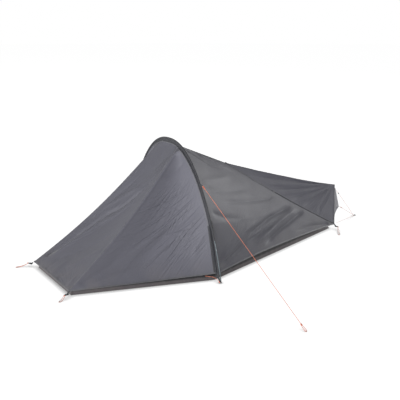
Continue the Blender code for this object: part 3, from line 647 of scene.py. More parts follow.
def closed_tube(line: Array, radius: float, sides: int = 14) -> Mesh:
    """Makes a ring-shaped tube along a closed line."""
    way = unit(np.roll(line, -1, axis=0) - np.roll(line, 1, axis=0))
    rings = line[:, None] + spokes(sides, unit(np.cross(way, UP)), UP) * radius
    return swept(rings, lengths(line), np.linspace(0, TURN * radius, sides + 1), closed=True)


def circle(centre: Array, radius: float, count: int) -> Array:
    """Returns a level circle of points."""
    angle = np.linspace(0.0, TURN, count + 1)[:-1]
    return centre + radius * np.stack([np.cos(angle), np.sin(angle), angle * 0.0], axis=1)


def hoop_tube(start: float, end: float, radius: float, bore: float, sides: int = 16) -> Mesh:
    """Makes a hollow tube on the pole's centre line.

    Args:
        start: Share of the hoop where the tube starts.
        end: Share of the hoop where it ends.
        radius: Its outer radius.
        bore: Its inner radius.
        sides: How many sides it has.

    Returns:
        The mesh.
    """
    share = np.linspace(start, end, max(int((end - start) * 230), 6))
    line = HOOP.point(share, FORM.pole_inset)
    out = spokes(sides, HOOP.out(share), ALONG)
    walls = np.concatenate([line[:, None] + out * radius, (line[:, None] + out * bore)[::-1]])
    run = lengths(line)
    return swept(walls, np.concatenate([run, run[::-1]]), np.linspace(0.0, TURN * radius, sides + 1), closed=True)


def banded(edge: EdgeLine, outline: Sequence[Share], wave: float = 0.0) -> Mesh:
    """Makes a sewn band along the edge of a panel.

    Args:
        edge: The edge that the band follows.
        outline: The band's cross section, as steps in from the edge and heights off the cloth.
        wave: How unevenly the band lies, as a share of its height.

    Returns:
        The mesh, with its UV map in distance along the edge and in from it.
    """
    run = lengths(edge.points)
    lift = 1.0 + wave * (np.sin(run * TURN / 0.021) + np.sin(run * TURN / 0.047 + 1.0))
    rings = [edge.points + edge.inward * step
             + edge.normal * (height * (lift if height > 0 else np.ones(len(run))))[:, None]
             for step, height in outline]
    return swept(np.stack(rings, axis=1), run, np.array([step for step, _ in outline] + [outline[0][0]]))


def strap(line: Array, across: Array, width: float, thickness: float) -> Mesh:
    """Makes a flat strap with soft edges along a line.

    Args:
        line: The middle of the strap.
        across: The way across its width.
        width: Its width.
        thickness: Its thickness.

    Returns:
        The mesh.
    """
    way = unit(np.gradient(line, axis=0))
    across = unit(across - way * (way @ across)[:, None])
    normal = np.cross(way, across)
    upper = [(-1.0, 0.3), (-0.94, 1.0), (0.94, 1.0), (1.0, 0.3)]
    outline = [(a * width / 2, b * thickness / 2) for a, b in upper + [(-a, -b) for a, b in upper]]
    rings = np.stack([line + across * a + normal * b for a, b in outline], axis=1)
    return swept(rings, lengths(line), np.array([a for a, _ in outline] + [outline[0][0]]))


def soft_square(count: int, power: float) -> tuple[Array, Array]:
    """Returns a square with round corners, as shares of its half width and of its half height."""
    angle = TURN * np.arange(count) / count
    across, rise = (np.sign(turn) * np.abs(turn) ** power for turn in (np.cos(angle), np.sin(angle)))
    return across, rise


@dataclass(frozen=True)
class Seat:
    """Where a small part sits: its middle, the way along it and the way across it."""

    centre: Array
    along: Array
    across: Array

    @property
    def normal(self) -> Array:
        """The way out of its face."""
        return unit(np.cross(self.along, self.across))

    def world(self, local: Sequence[Sequence[float]] | Array) -> Array:
        """Turns the part's own places into the tent's."""
        return self.centre + np.asarray(local, float) @ np.stack([self.along, self.across, self.normal])

    def plate(self, stops: Array, half: Array, thick: Array, power: float, wrap: float, lift: float = 0.0,
              sides: int = 16) -> Mesh:
        """Makes a rounded plate that lies on the seat.

        Args:
            stops: Places along the plate.
            half: Its half width at each place.
            thick: Its half thickness at each place.
            power: How square its section is, where less is squarer.
            wrap: The distance round it, for the UV map.
            lift: How far it lies off the seat.
            sides: How many points its section has.

        Returns:
            The mesh.
        """
        across, rise = soft_square(sides, power)
        local = np.broadcast_arrays(stops[:, None], half[:, None] * across, thick[:, None] * rise + lift)
        return swept(self.world(np.stack(local, axis=-1)), stops, np.linspace(0.0, wrap, sides + 1))


FELLED = ((0.0002, -0.0006), (0.0001, 0.001), (0.0012, 0.0015), (0.0046, 0.0012), (0.0085, 0.0014),
          (0.0096, 0.001), (0.0098, -0.0006))
ROLLED_HEM = ((-0.0009, 0.0), (-0.0003, 0.0012), (0.0016, 0.0017), (0.006, 0.0013), (0.0105, 0.0014),
              (0.0112, 0.0004), (0.0112, -0.0004), (0.0105, -0.0014), (0.006, -0.0013), (0.0016, -0.0017),
              (-0.0003, -0.0012))
BINDING = ((-0.0008, 0.0), (-0.0002, 0.001), (0.008, 0.001), (0.0086, 0.0), (0.008, -0.001),
           (-0.0002, -0.001))


class Graph:
    """A node tree with short calls to add and join nodes."""

    def __init__(self, tree: bpy.types.NodeTree) -> None:
        """Takes the tree that the calls work on."""
        self.tree = tree

    def add(self, kind: str, inputs: dict | None = None, settings: dict | None = None) -> bpy.types.Node:
        """Adds a node, sets its properties and feeds its inputs."""
        node = self.tree.nodes.new(kind)
        for name, value in (settings or {}).items():
            setattr(node, name, value)
        for name, value in (inputs or {}).items():
            self.feed(node.inputs[name], value)
        return node

    def feed(self, socket: Socket, value: object) -> None:
        """Links an output to a socket, or sets the socket's own value."""
        if isinstance(value, Socket):
            self.tree.links.new(value, socket)
        else:
            socket.default_value = value

    def math(self, operation: str, *values: object) -> Socket:
        """Adds a Math node and returns its result."""
        return self.add("ShaderNodeMath", dict(enumerate(values)), {"operation": operation}).outputs[0]

    def plus(self, a: object, b: object) -> Socket:
        """Adds two values."""
        return self.math("ADD", a, b)

    def minus(self, a: object, b: object) -> Socket:
        """Takes the second value from the first."""
        return self.math("SUBTRACT", a, b)

    def times(self, a: object, b: object) -> Socket:
        """Multiplies two values."""
        return self.math("MULTIPLY", a, b)

    def over(self, a: object, b: object) -> Socket:
        """Divides the first value by the second."""
        return self.math("DIVIDE", a, b)

    def from_half(self, value: object) -> Socket:
        """Returns how far a value is from a half."""
        return self.math("ABSOLUTE", self.minus(value, 0.5))

    def in_cell(self, value: object, cell: object) -> Socket:
        """Returns how far a place is from the middle of its cell, as a share of the cell."""
        return self.from_half(self.math("FRACT", self.over(value, cell)))

    def wave(self, value: object, pitch: object, turn: float = TURN) -> Socket:
        """Returns a sine that turns once in each pitch."""
        return self.math("SINE", self.times(self.over(value, pitch), turn))

    def ramp(self, value: object, low: object, high: object, start: float = 0.0, end: float = 1.0,
             kind: str = "SMOOTHSTEP") -> Socket:
        """Maps low..high to start..end, held at both ends.

        Args:
            value: What is mapped.
            low: The value that becomes the start.
            high: The value that becomes the end.
            start: What the result starts at.
            end: What the result ends at.
            kind: The node's name for the way between them.

        Returns:
            The result.
        """
        inputs = {0: value, 1: low, 2: high, 3: start, 4: end}
        return self.add("ShaderNodeMapRange", inputs, {"interpolation_type": kind}).outputs[0]

    def vector(self, operation: str, *values: object, output: str = "Vector") -> Socket:
        """Adds a Vector Math node and returns its result."""
        inputs = dict(enumerate(values))
        return self.add("ShaderNodeVectorMath", inputs, {"operation": operation}).outputs[output]

    def parts(self, vector: object) -> list[Socket]:
        """Splits a vector into its three values."""
        return list(self.add("ShaderNodeSeparateXYZ", {0: vector}).outputs)

    def joined(self, x: object, y: object = 0.0) -> Socket:
        """Makes a vector of two values."""
        return self.add("ShaderNodeCombineXYZ", {0: x, 1: y}).outputs[0]

    def noise(self, vector: object, scale: object, detail: float) -> Socket:
        """Adds a noise texture and returns its value."""
        return self.add("ShaderNodeTexNoise", {"Vector": vector, "Scale": scale, "Detail": detail}).outputs[0]

    def mix(self, factor: object, a: object, b: object, kind: str = "MIX") -> Socket:
        """Mixes two colours."""
        settings = {"data_type": "RGBA", "blend_type": kind}
        return self.add("ShaderNodeMix", {0: factor, 6: a, 7: b}, settings).outputs[2]

    def grey(self, value: object) -> Socket:
        """Turns a value into a colour."""
        return self.add("ShaderNodeCombineColor", {0: value, 1: value, 2: value}).outputs[0]


Wiring = Callable[[Graph, Sockets], Sockets]


@dataclass(frozen=True)
class Effect:
    """A shader effect, kept as one node group that materials share. An input of None is a vector."""

    name: str
    outputs: Sequence[str]
    inputs: dict[str, float | None]
    wire: Wiring

    def build(self) -> bpy.types.NodeTree:
        """Makes the node group."""
        tree = bpy.data.node_groups.new(self.name, "ShaderNodeTree")
        for name, value in self.inputs.items():
            kind = "NodeSocketVector" if value is None else "NodeSocketFloat"
            socket = tree.interface.new_socket(name, in_out="INPUT", socket_type=kind)
            if value is not None:
                socket.default_value = value
        for name in self.outputs:
            tree.interface.new_socket(name, in_out="OUTPUT", socket_type="NodeSocketFloat")
        graph = Graph(tree)
        given = tree.nodes.new("NodeGroupInput").outputs
        results = self.wire(graph, {name: given[name] for name in self.inputs})
        out = tree.nodes.new("NodeGroupOutput")
        for name, value in results.items():
            graph.feed(out.inputs[name], value)
        return tree

    def place(self, graph: Graph, **values: object) -> Sockets:
        """Puts the effect in a material.

        Args:
            graph: The material's nodes.
            values: The group's inputs, by their names.

        Returns:
            The group's outputs, by their names.
        """
        tree = bpy.data.node_groups.get(self.name) or self.build()
        node = graph.add("ShaderNodeGroup", values, {"node_tree": tree})
        return {name: node.outputs[name] for name in self.outputs}


def effect(name: str, *outputs: str, **inputs: float | None) -> Callable[[Wiring], Effect]:
    """Makes an effect of the function that wires it, with a vector input before its other ones.

    Args:
        name: The node group's name.
        outputs: The names of its outputs.
        inputs: Its other inputs, with their own values.

    Returns:
        What makes the effect. The function that it is put on takes the group's nodes and its inputs by
        name, and returns its outputs by name.
    """
    return lambda wire: Effect(name, outputs, {"Vector": None, **inputs}, wire)


@effect("ripstop_weave", "Grid", "Height", Cell=0.006, Thread=0.0005, Yarn=0.0007)
def ripstop(graph: Graph, given: Sockets) -> Sockets:
    """Plain weave with a grid of thicker threads."""
    lines, yarns = [], []
    for value in graph.parts(given["Vector"])[:2]:
        away = graph.times(graph.in_cell(value, given["Cell"]), given["Cell"])
        lines.append(graph.minus(1.0, graph.math("MINIMUM", graph.over(away, given["Thread"]), 1.0)))
        yarns.append(graph.wave(value, given["Yarn"]))
    grid = graph.math("MAXIMUM", *lines)
    return {"Grid": grid, "Height": graph.plus(graph.times(grid, 0.7), graph.times(graph.times(*yarns), 0.3))}


@effect("tone_drift", "Tone", Scale=2.0, Spread=0.08)
def drift(graph: Graph, given: Sockets) -> Sockets:
    """Slow uneven tone that swings about one."""
    swing = graph.times(graph.minus(graph.noise(given["Vector"], given["Scale"], 4.0), 0.5), given["Spread"])
    return {"Tone": graph.plus(graph.times(swing, 4.0), 1.0)}


@effect("pull_creases", "Height", Pull=None, Heading=None, Open=-1.0, Start=0.0, Reach=0.8, Count=22.0)
def creases(graph: Graph, given: Sockets) -> Sockets:
    """Fine creases on the rays from a place where the cloth is pulled, weaker where they are far from it."""
    away = graph.vector("SUBTRACT", given["Vector"], given["Pull"])
    x, y, _ = graph.parts(away)
    far = graph.vector("LENGTH", away, output="Value")
    ray = graph.joined(graph.times(graph.math("ARCTAN2", y, x), given["Count"]), graph.times(far, 1.4))
    bend = graph.times(graph.noise(given["Vector"], 3.0, 1.0), 0.9)
    line = graph.from_half(graph.noise(graph.vector("ADD", ray, graph.joined(bend)), 1.0, 1.0))
    run = graph.minus(far, given["Start"])
    ebb = graph.ramp(graph.over(run, given["Reach"]), 0.35, 1.0, 1.0, 0.0)
    facing = graph.vector("DOT_PRODUCT", graph.vector("NORMALIZE", away), given["Heading"], output="Value")
    inside = graph.ramp(facing, given["Open"], graph.plus(given["Open"], 0.06))
    strength = graph.times(graph.times(graph.ramp(run, 0.01, 0.16), ebb), inside)
    return {"Height": graph.times(graph.ramp(line, 0.0, 0.12, 1.0, 0.0), strength)}


@effect("packed_crinkle", "Height", Scale=17.0)
def crinkle(graph: Graph, given: Sockets) -> Sockets:
    """The small sharp creases that packing leaves in patches of thin nylon."""
    line = graph.from_half(graph.noise(given["Vector"], given["Scale"], 2.0))
    patch = graph.ramp(graph.noise(given["Vector"], 4.0, 2.0), 0.45, 0.65)
    return {"Height": graph.times(graph.ramp(line, 0.0, 0.05, 1.0, 0.0), patch)}


@effect("ground_dust", "Mask", Top=0.18, Amount=0.3)
def ground_dust(graph: Graph, given: Sockets) -> Sockets:
    """Dust and splashes that thin out with height above the ground."""
    height = graph.over(graph.parts(given["Vector"])[2], given["Top"])
    low = graph.minus(1.0, graph.math("MINIMUM", height, 1.0))
    blotch = graph.ramp(graph.noise(given["Vector"], 7.0, 6.0), 0.35, 0.75)
    return {"Mask": graph.times(graph.times(low, blotch), given["Amount"])}


@effect("stitch_rows", "Mask", "Dent", First=0.002, Second=0.0075, Pitch=0.0034)
def stitches(graph: Graph, given: Sockets) -> Sockets:
    """Two rows of lockstitch along a band, and the dent that they pull in."""
    x, y, _ = graph.parts(given["Vector"])
    dash = graph.ramp(graph.in_cell(x, given["Pitch"]), 0.4, 0.34)
    away = [graph.math("ABSOLUTE", graph.minus(y, given[row])) for row in ("First", "Second")]
    near = graph.math("MINIMUM", *away)
    return {"Mask": graph.times(dash, graph.ramp(near, 0.0004, 0.0002)), "Dent": graph.ramp(near, 0.0016, 0.0)}


@effect("cord_braid", "Height", "Fleck", Pitch=0.0016)
def braid(graph: Graph, given: Sockets) -> Sockets:
    """The crossing strands of a braided cord."""
    x, y, _ = graph.parts(given["Vector"])
    height = graph.times(*(graph.wave(graph.math(way, x, y), given["Pitch"]) for way in ("ADD", "SUBTRACT")))
    return {"Height": height, "Fleck": graph.ramp(height, 0.25, 0.8)}


@effect("webbing_ribs", "Height", Rib=0.0016, Pick=0.0011)
def ribs(graph: Graph, given: Sockets) -> Sockets:
    """The ribs of woven webbing, with picks across them."""
    x, y, _ = graph.parts(given["Vector"])
    rib = graph.math("ABSOLUTE", graph.wave(y, given["Rib"], math.pi))
    pick = graph.math("ABSOLUTE", graph.wave(x, given["Pick"], math.pi))
    return {"Height": graph.times(rib, graph.plus(graph.times(pick, 0.5), 0.5))}


@effect("netting_holes", "Thread", Cell=0.0018, Thread=0.3)
def netting(graph: Graph, given: Sockets) -> Sockets:
    """The crossing threads of a fine insect mesh, with open cells between them."""
    x, y, _ = graph.parts(given["Vector"])
    lines = [graph.math("LESS_THAN", graph.in_cell(graph.math(way, x, y), given["Cell"]), given["Thread"])
             for way in ("ADD", "SUBTRACT")]
    return {"Thread": graph.math("MAXIMUM", *lines)}


@effect("moulded_grain", "Height", "Rub", Scale=900.0)
def grain(graph: Graph, given: Sockets) -> Sockets:
    """Fine moulding grain, and the patches that use has polished."""
    rub = graph.ramp(graph.noise(given["Vector"], 60.0, 4.0), 0.52, 0.72)
    return {"Height": graph.noise(given["Vector"], given["Scale"], 2.0), "Rub": rub}


@effect("drawn_metal", "Height", "Scuff", Fineness=2600.0)
def drawn_metal(graph: Graph, given: Sockets) -> Sockets:
    """The fine lines of drawn and anodised metal tube, and the scuffs across it."""
    x, y, _ = graph.parts(given["Vector"])
    scuff = graph.ramp(graph.noise(given["Vector"], 45.0, 6.0), 0.58, 0.7)
    return {"Height": graph.noise(graph.joined(graph.times(x, 0.02), y), given["Fineness"], 2.0), "Scuff": scuff}


class Surface(Graph):
    """A material's nodes: its shader, and the flat pattern and the place of what it shades."""

    def __init__(self, material: bpy.types.Material) -> None:
        """Takes the nodes of a material."""
        material.use_nodes = True
        super().__init__(material.node_tree)
        self.shader = self.tree.nodes["Principled BSDF"]
        coordinates = self.add("ShaderNodeTexCoord").outputs
        self.flat, self.place = coordinates["UV"], coordinates["Object"]

    def set(self, **values: object) -> None:
        """Feeds the shader's inputs, whose names have _ for each blank."""
        for name, value in values.items():
            self.feed(self.shader.inputs[name.replace("_", " ")], value)

    def bump(self, height: object, distance: float) -> None:
        """Feeds a height to the shader's normal."""
        inputs = {"Height": height, "Distance": distance, "Strength": 1.0}
        self.set(Normal=self.add("ShaderNodeBump", inputs).outputs[0])

    def tone(self, scale: float, spread: float) -> Socket:
        """Returns a slow uneven tone over the piece."""
        return drift.place(self, Vector=self.place, Scale=scale, Spread=spread)["Tone"]


@dataclass(frozen=True)
class Finish:
    """A surface finish: its colour and gloss, and the name of the slot that it stands for."""

    name: str
    slot: str
    colour: Point
    roughness: float

    def material(self) -> bpy.types.Material:
        """Returns the finish's material, built the first time it is asked for."""
        found = bpy.data.materials.get(self.name)
        if found is not None:
            return found
        material = bpy.data.materials.new(self.name)
        surface = Surface(material)
        surface.set(Roughness=self.roughness)
        self.wire(surface)
        return material

    def wire(self, surface: Surface) -> None:
        """Builds the finish's nodes round its shader."""
        raise NotImplementedError

    def tinted(self, surface: Surface, tone: object) -> Socket:
        """Returns the finish's colour times a tone."""
        return surface.mix(1.0, (*self.colour, 1.0), surface.grey(tone), "MULTIPLY")


def mirrored_share(place: Share) -> Share:
    """Returns the like place of the panel on the other side."""
    return 1.0 - place[0], place[1]


@dataclass(frozen=True)
class Pull:
    """A place of a panel that draws creases to it.

    The place is a share of the panel across and down, or, once the panel is cut, a place of its flat
    pattern, and so is the place towards which the creases run. Spread is the half angle that they fill,
    in degrees. Reach is how far they run, and count how many there are in a radian. Back is how far behind
    the place the creases would meet, so that they start side by side.
    """

    place: Share
    toward: Share
    spread: float
    reach: float
    count: float = 22.0
    height: float = 0.0006
    back: float = 0.0

    def mirrored(self) -> "Pull":
        """Returns the like pull of the panel on the other side."""
        return replace(self, place=mirrored_share(self.place), toward=mirrored_share(self.toward))

    def laid(self, sheet: Sheet) -> "Pull":
        """Returns the pull with its places on the sheet's flat pattern."""
        place, toward = (np.array(sheet.flat[sheet.index(share)]) for share in (self.place, self.toward))
        centre = place - unit(toward - place) * self.back
        return replace(self, place=tuple(float(v) for v in centre), toward=tuple(float(v) for v in toward))

    def height_on(self, surface: Surface) -> Socket:
        """Returns the height of the creases on a surface."""
        x, y = unit(np.subtract(self.toward, self.place))
        drawn = creases.place(surface, Vector=surface.flat, Pull=(*self.place, 0.0), Heading=(float(x), float(y), 0.0),
                              Open=math.cos(math.radians(self.spread)), Start=self.back, Reach=self.reach,
                              Count=self.count)
        return surface.times(drawn["Height"], self.height)


@dataclass(frozen=True)
class ClothFinish(Finish):
    """Coated woven nylon, with stitch rows where it is a sewn band."""

    cell: float = 0.0058
    spread: float = 0.035
    sheen: float = 0.04
    gloss: float = 0.35
    dust: float = 0.22
    dust_colour: Point = (0.34, 0.3, 0.26)
    thread: Point | None = None
    grid_light: float = 0.1
    weave_height: float = 0.00012
    crinkle: float = 0.0
    shade: Share | None = None
    shade_colour: Point = (0.01, 0.01, 0.012)
    pulls: tuple[Pull, ...] = ()

    def pulled(self, panel: str, pulls: Sequence[Pull], sheet: Sheet, tone: float) -> "ClothFinish":
        """Returns this finish for one panel, its colour scaled by a tone that paints the panel's light and shade, and
        with the creases that its pulls draw.
        """
        return replace(self, name=f"{self.name}_{panel}", colour=tuple(part * tone for part in self.colour),
                       pulls=tuple(pull.laid(sheet) for pull in pulls))

    def wire(self, surface: Surface) -> None:
        """Builds weave, uneven tone, dust, a painted shade band where one is given, stitches and creases."""
        weave = ripstop.place(surface, Vector=surface.flat, Cell=self.cell)
        light = surface.plus(surface.times(weave["Grid"], self.grid_light), surface.tone(1.7, self.spread))
        dust = ground_dust.place(surface, Vector=surface.place, Amount=self.dust)["Mask"]
        colour = surface.mix(dust, self.tinted(surface, light), (*self.dust_colour, 1.0))
        # Painted shade: over a band of heights the colour turns to shade_colour, standing in for the shadow under the
        # fly's hem.
        if self.shade is not None:
            painted_shade_mask = surface.ramp(surface.parts(surface.place)[2], *self.shade)
            colour = surface.mix(painted_shade_mask, colour, (*self.shade_colour, 1.0))
        height = weave["Height"]
        if self.thread is not None:
            rows = stitches.place(surface, Vector=surface.flat)
            colour = surface.mix(rows["Mask"], colour, (*self.thread, 1.0))
            height = surface.minus(surface.plus(height, rows["Mask"]), surface.times(rows["Dent"], 2.0))
        rough = surface.plus(self.roughness, surface.times(dust, 0.3))
        surface.set(Base_Color=colour, Roughness=rough, Sheen_Weight=self.sheen, Sheen_Roughness=0.45,
                    Specular_IOR_Level=self.gloss)
        height = surface.times(height, self.weave_height)
        if self.crinkle:
            fine = crinkle.place(surface, Vector=surface.flat)["Height"]
            height = surface.plus(height, surface.times(fine, self.crinkle))
        for pull in self.pulls:
            height = surface.plus(height, pull.height_on(surface))
        surface.bump(height, 1.0)


@dataclass(frozen=True)
class CordFinish(Finish):
    """Braided cord with a lighter fleck."""

    fleck: Point = (0.9, 0.62, 0.52)

    def wire(self, surface: Surface) -> None:
        """Builds the braid and its flecks."""
        strands = braid.place(surface, Vector=surface.flat)
        colour = self.tinted(surface, surface.tone(14.0, 0.05))
        colour = surface.mix(surface.times(strands["Fleck"], 0.25), colour, (*self.fleck, 1.0))
        surface.set(Base_Color=colour, Sheen_Weight=0.2)
        surface.bump(strands["Height"], 0.0002)


@dataclass(frozen=True)
class WebbingFinish(Finish):
    """Woven webbing, worn lighter on its ribs."""

    def wire(self, surface: Surface) -> None:
        """Builds the ribs and their wear."""
        height = ribs.place(surface, Vector=surface.flat)["Height"]
        worn = surface.plus(surface.tone(30.0, 0.06), surface.times(height, 0.25))
        surface.set(Base_Color=self.tinted(surface, worn), Sheen_Weight=0.15)
        surface.bump(height, 0.00035)


@dataclass(frozen=True)
class MouldedFinish(Finish):
    """Moulded plastic with a fine grain and rubbed patches."""

    def wire(self, surface: Surface) -> None:
        """Builds grain and rubbed gloss."""
        skin = grain.place(surface, Vector=surface.place)
        tone = surface.plus(1.0, surface.times(skin["Rub"], 0.35))
        rough = surface.minus(self.roughness, surface.times(skin["Rub"], 0.12))
        surface.set(Base_Color=self.tinted(surface, tone), Roughness=rough)
        surface.bump(skin["Height"], 0.00008)


@dataclass(frozen=True)
class AlloyFinish(Finish):
    """Drawn aluminium, anodised or plain, with scuffs."""

    scuffed: Point = (0.62, 0.62, 0.62)

    def wire(self, surface: Surface) -> None:
        """Builds drawn lines and the scuffs that bare the metal."""
        drawn = drawn_metal.place(surface, Vector=surface.flat)
        colour = self.tinted(surface, surface.tone(6.0, 0.04))
        colour = surface.mix(surface.times(drawn["Scuff"], 0.35), colour, (*self.scuffed, 1.0))
        rough = surface.plus(self.roughness, surface.times(drawn["Scuff"], 0.15))
        surface.set(Base_Color=colour, Roughness=rough, Metallic=1.0)
        surface.bump(drawn["Height"], 0.00004)


@dataclass(frozen=True)
class NetFinish(Finish):
    """Fine insect mesh that the eye sees through."""

    def wire(self, surface: Surface) -> None:
        """Builds the threads and the openings between them."""
        thread = netting.place(surface, Vector=surface.flat)["Thread"]
        surface.set(Base_Color=self.tinted(surface, surface.tone(2.0, 0.04)), Sheen_Weight=0.2,
                    Alpha=surface.plus(surface.times(thread, 0.75), 0.2))


STITCH_GREY = (0.24, 0.24, 0.26)
FLY = ClothFinish("fly_nylon", "fly_fabric", (0.135, 0.135, 0.162), 0.56, crinkle=0.0006)
PATCH = ClothFinish("patch_nylon", "fly_fabric", (0.108, 0.108, 0.124), 0.56)
FLY_BAND = ClothFinish("fly_sewn_band", "fly_fabric", (0.14, 0.14, 0.158), 0.5, thread=STITCH_GREY)
FLY_HEM = ClothFinish("fly_hem", "fly_fabric", (0.15, 0.152, 0.168), 0.5, thread=STITCH_GREY)
DARK = ClothFinish("sleeve_nylon", "sleeve_fabric", (0.045, 0.046, 0.052), 0.62, cell=0.003,
                   thread=(0.11, 0.11, 0.12), grid_light=0.05)
# Its shade band paints the shadow that the fly's hem casts on the top of the groundsheet's wall.
FLOOR = ClothFinish("floor_nylon", "floor_fabric", (0.105, 0.094, 0.1), 0.5, cell=0.004, dust=0.12,
                    shade=(0.018, 0.034))
INNER = ClothFinish("inner_nylon", "inner_mesh", (0.2, 0.205, 0.215), 0.6, cell=0.004, thread=STITCH_GREY)
NET = NetFinish("inner_netting", "inner_mesh", (0.16, 0.165, 0.175), 0.75)
CORD = CordFinish("orange_braid", "orange_cord", (0.9, 0.25, 0.135), 0.6)
WEBBING = WebbingFinish("dark_webbing", "webbing", (0.06, 0.064, 0.07), 0.72)
TAPE = WebbingFinish("zip_tape", "webbing", (0.105, 0.11, 0.13), 0.7)
# Dark tape beside the bare pole; its dark colour also paints the shade there.
LEG_TAPE_AND_SHADE = WebbingFinish("leg_tape", "sleeve_fabric", (0.075, 0.077, 0.088), 0.7)
BLACK = MouldedFinish("black_moulding", "black_plastic", (0.02, 0.02, 0.023), 0.42)
TEETH = MouldedFinish("zip_moulding", "zip_plastic", (0.026, 0.027, 0.03), 0.36)
ORANGE = MouldedFinish("orange_moulding", "orange_plastic", (0.8, 0.18, 0.08), 0.45)
POLE = AlloyFinish("anodised_pole", "pole_alloy", (0.085, 0.1, 0.108), 0.4)
PULL = WebbingFinish("orange_webbing", "orange_cord", (0.78, 0.18, 0.085), 0.65)
METAL = AlloyFinish("plain_metal", "plain_alloy", (0.56, 0.57, 0.58), 0.3)
GUNMETAL = AlloyFinish("dark_metal", "plain_alloy", (0.14, 0.14, 0.15), 0.34)
ELASTIC = CordFinish("elastic_cord", "elastic", (0.6, 0.6, 0.59), 0.7, fleck=(0.7, 0.7, 0.7))


@dataclass(frozen=True)
class Blend:
    """Where a piece of fabric leaves one body and follows another."""

    start_body: str
    end_body: str
    start: Array
    end: Array


Rides = str | Blend


def add_piece(name: str, mesh: Mesh, finish: Finish, rides: Rides = TENT, node: str = "") -> bpy.types.Object:
    """Puts a piece in the scene, dresses it and ties it to the frame.

    Args:
        name: The piece's name.
        mesh: Its mesh.
        finish: Its finish.
        rides: The body that it rides on, or a Blend between two, which leaves it unparented.
        node: The frame's node that it stands for, if any.

    Returns:
        The piece.
    """
    mesh.name = name
    piece = bpy.data.objects.new(name, mesh)
    bpy.context.scene.collection.objects.link(piece)
    mesh.materials.append(finish.material())
    if node:
        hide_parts(node)
    if isinstance(rides, Blend):
        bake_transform(piece)
    else:
        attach(piece, rides)
    LOG.info("%s: %d faces", name, len(mesh.polygons))
    return piece


def dress_node(node: str, ending: str, mesh: Mesh, finish: Finish, rides: Rides = TENT) -> bpy.types.Object:
    """Adds the piece that stands for a node, under the node's name with an ending."""
    return add_piece(f"{node}_{ending}", mesh, finish, rides, node)


def add_panel(name: str, sheet: Sheet, thickness: float, finish: Finish, rides: Rides) -> None:
    """Args:
        name: The frame's node that the panel stands for.
        sheet: The panel.
        thickness: How thick the cloth is.
        finish: Its finish.
        rides: The body that it rides on, or a Blend between two, which leaves it unparented.
    """
    piece = dress_node(name, "cloth", sheet.mesh(thickness), finish, rides)


def add_cord(node: str, line: Array, radius: float,
             rides: Rides = TENT) -> None:
    """Args:
        node: The frame's node that the cord stands for.
        line: The cord's centre line.
        radius: Its radius.
        rides: The body that it rides on, or a Blend between two, which leaves it unparented.
    """
    piece = dress_node(node, "cord", tube(line, radius, 10), CORD, rides)


@dataclass
class Camera:
    """The camera, placed by the way that it looks at the tent."""

    azimuth: float = -33.24
    elevation: float = 15.04
    distance: float = 5.71
    target: Point = (0.37, 0.11, 0.4)
    lens: float = 59.28
    sensor: float = 36.0

    def build(self) -> None:
        """Makes the camera and gives it to the scene."""
        a, e = math.radians(self.azimuth), math.radians(self.elevation)
        back = Vector((math.sin(a) * math.cos(e), -math.cos(a) * math.cos(e), math.sin(e)))
        data = bpy.data.cameras.new("view")
        data.lens, data.sensor_width = self.lens, self.sensor
        data.clip_end = 200.0
        camera = bpy.data.objects.new("view", data)
        camera.location = Vector(self.target) + back * self.distance
        camera.rotation_euler = back.to_track_quat("Z", "Y").to_euler()
        bpy.context.scene.collection.objects.link(camera)
        bpy.context.scene.camera = camera


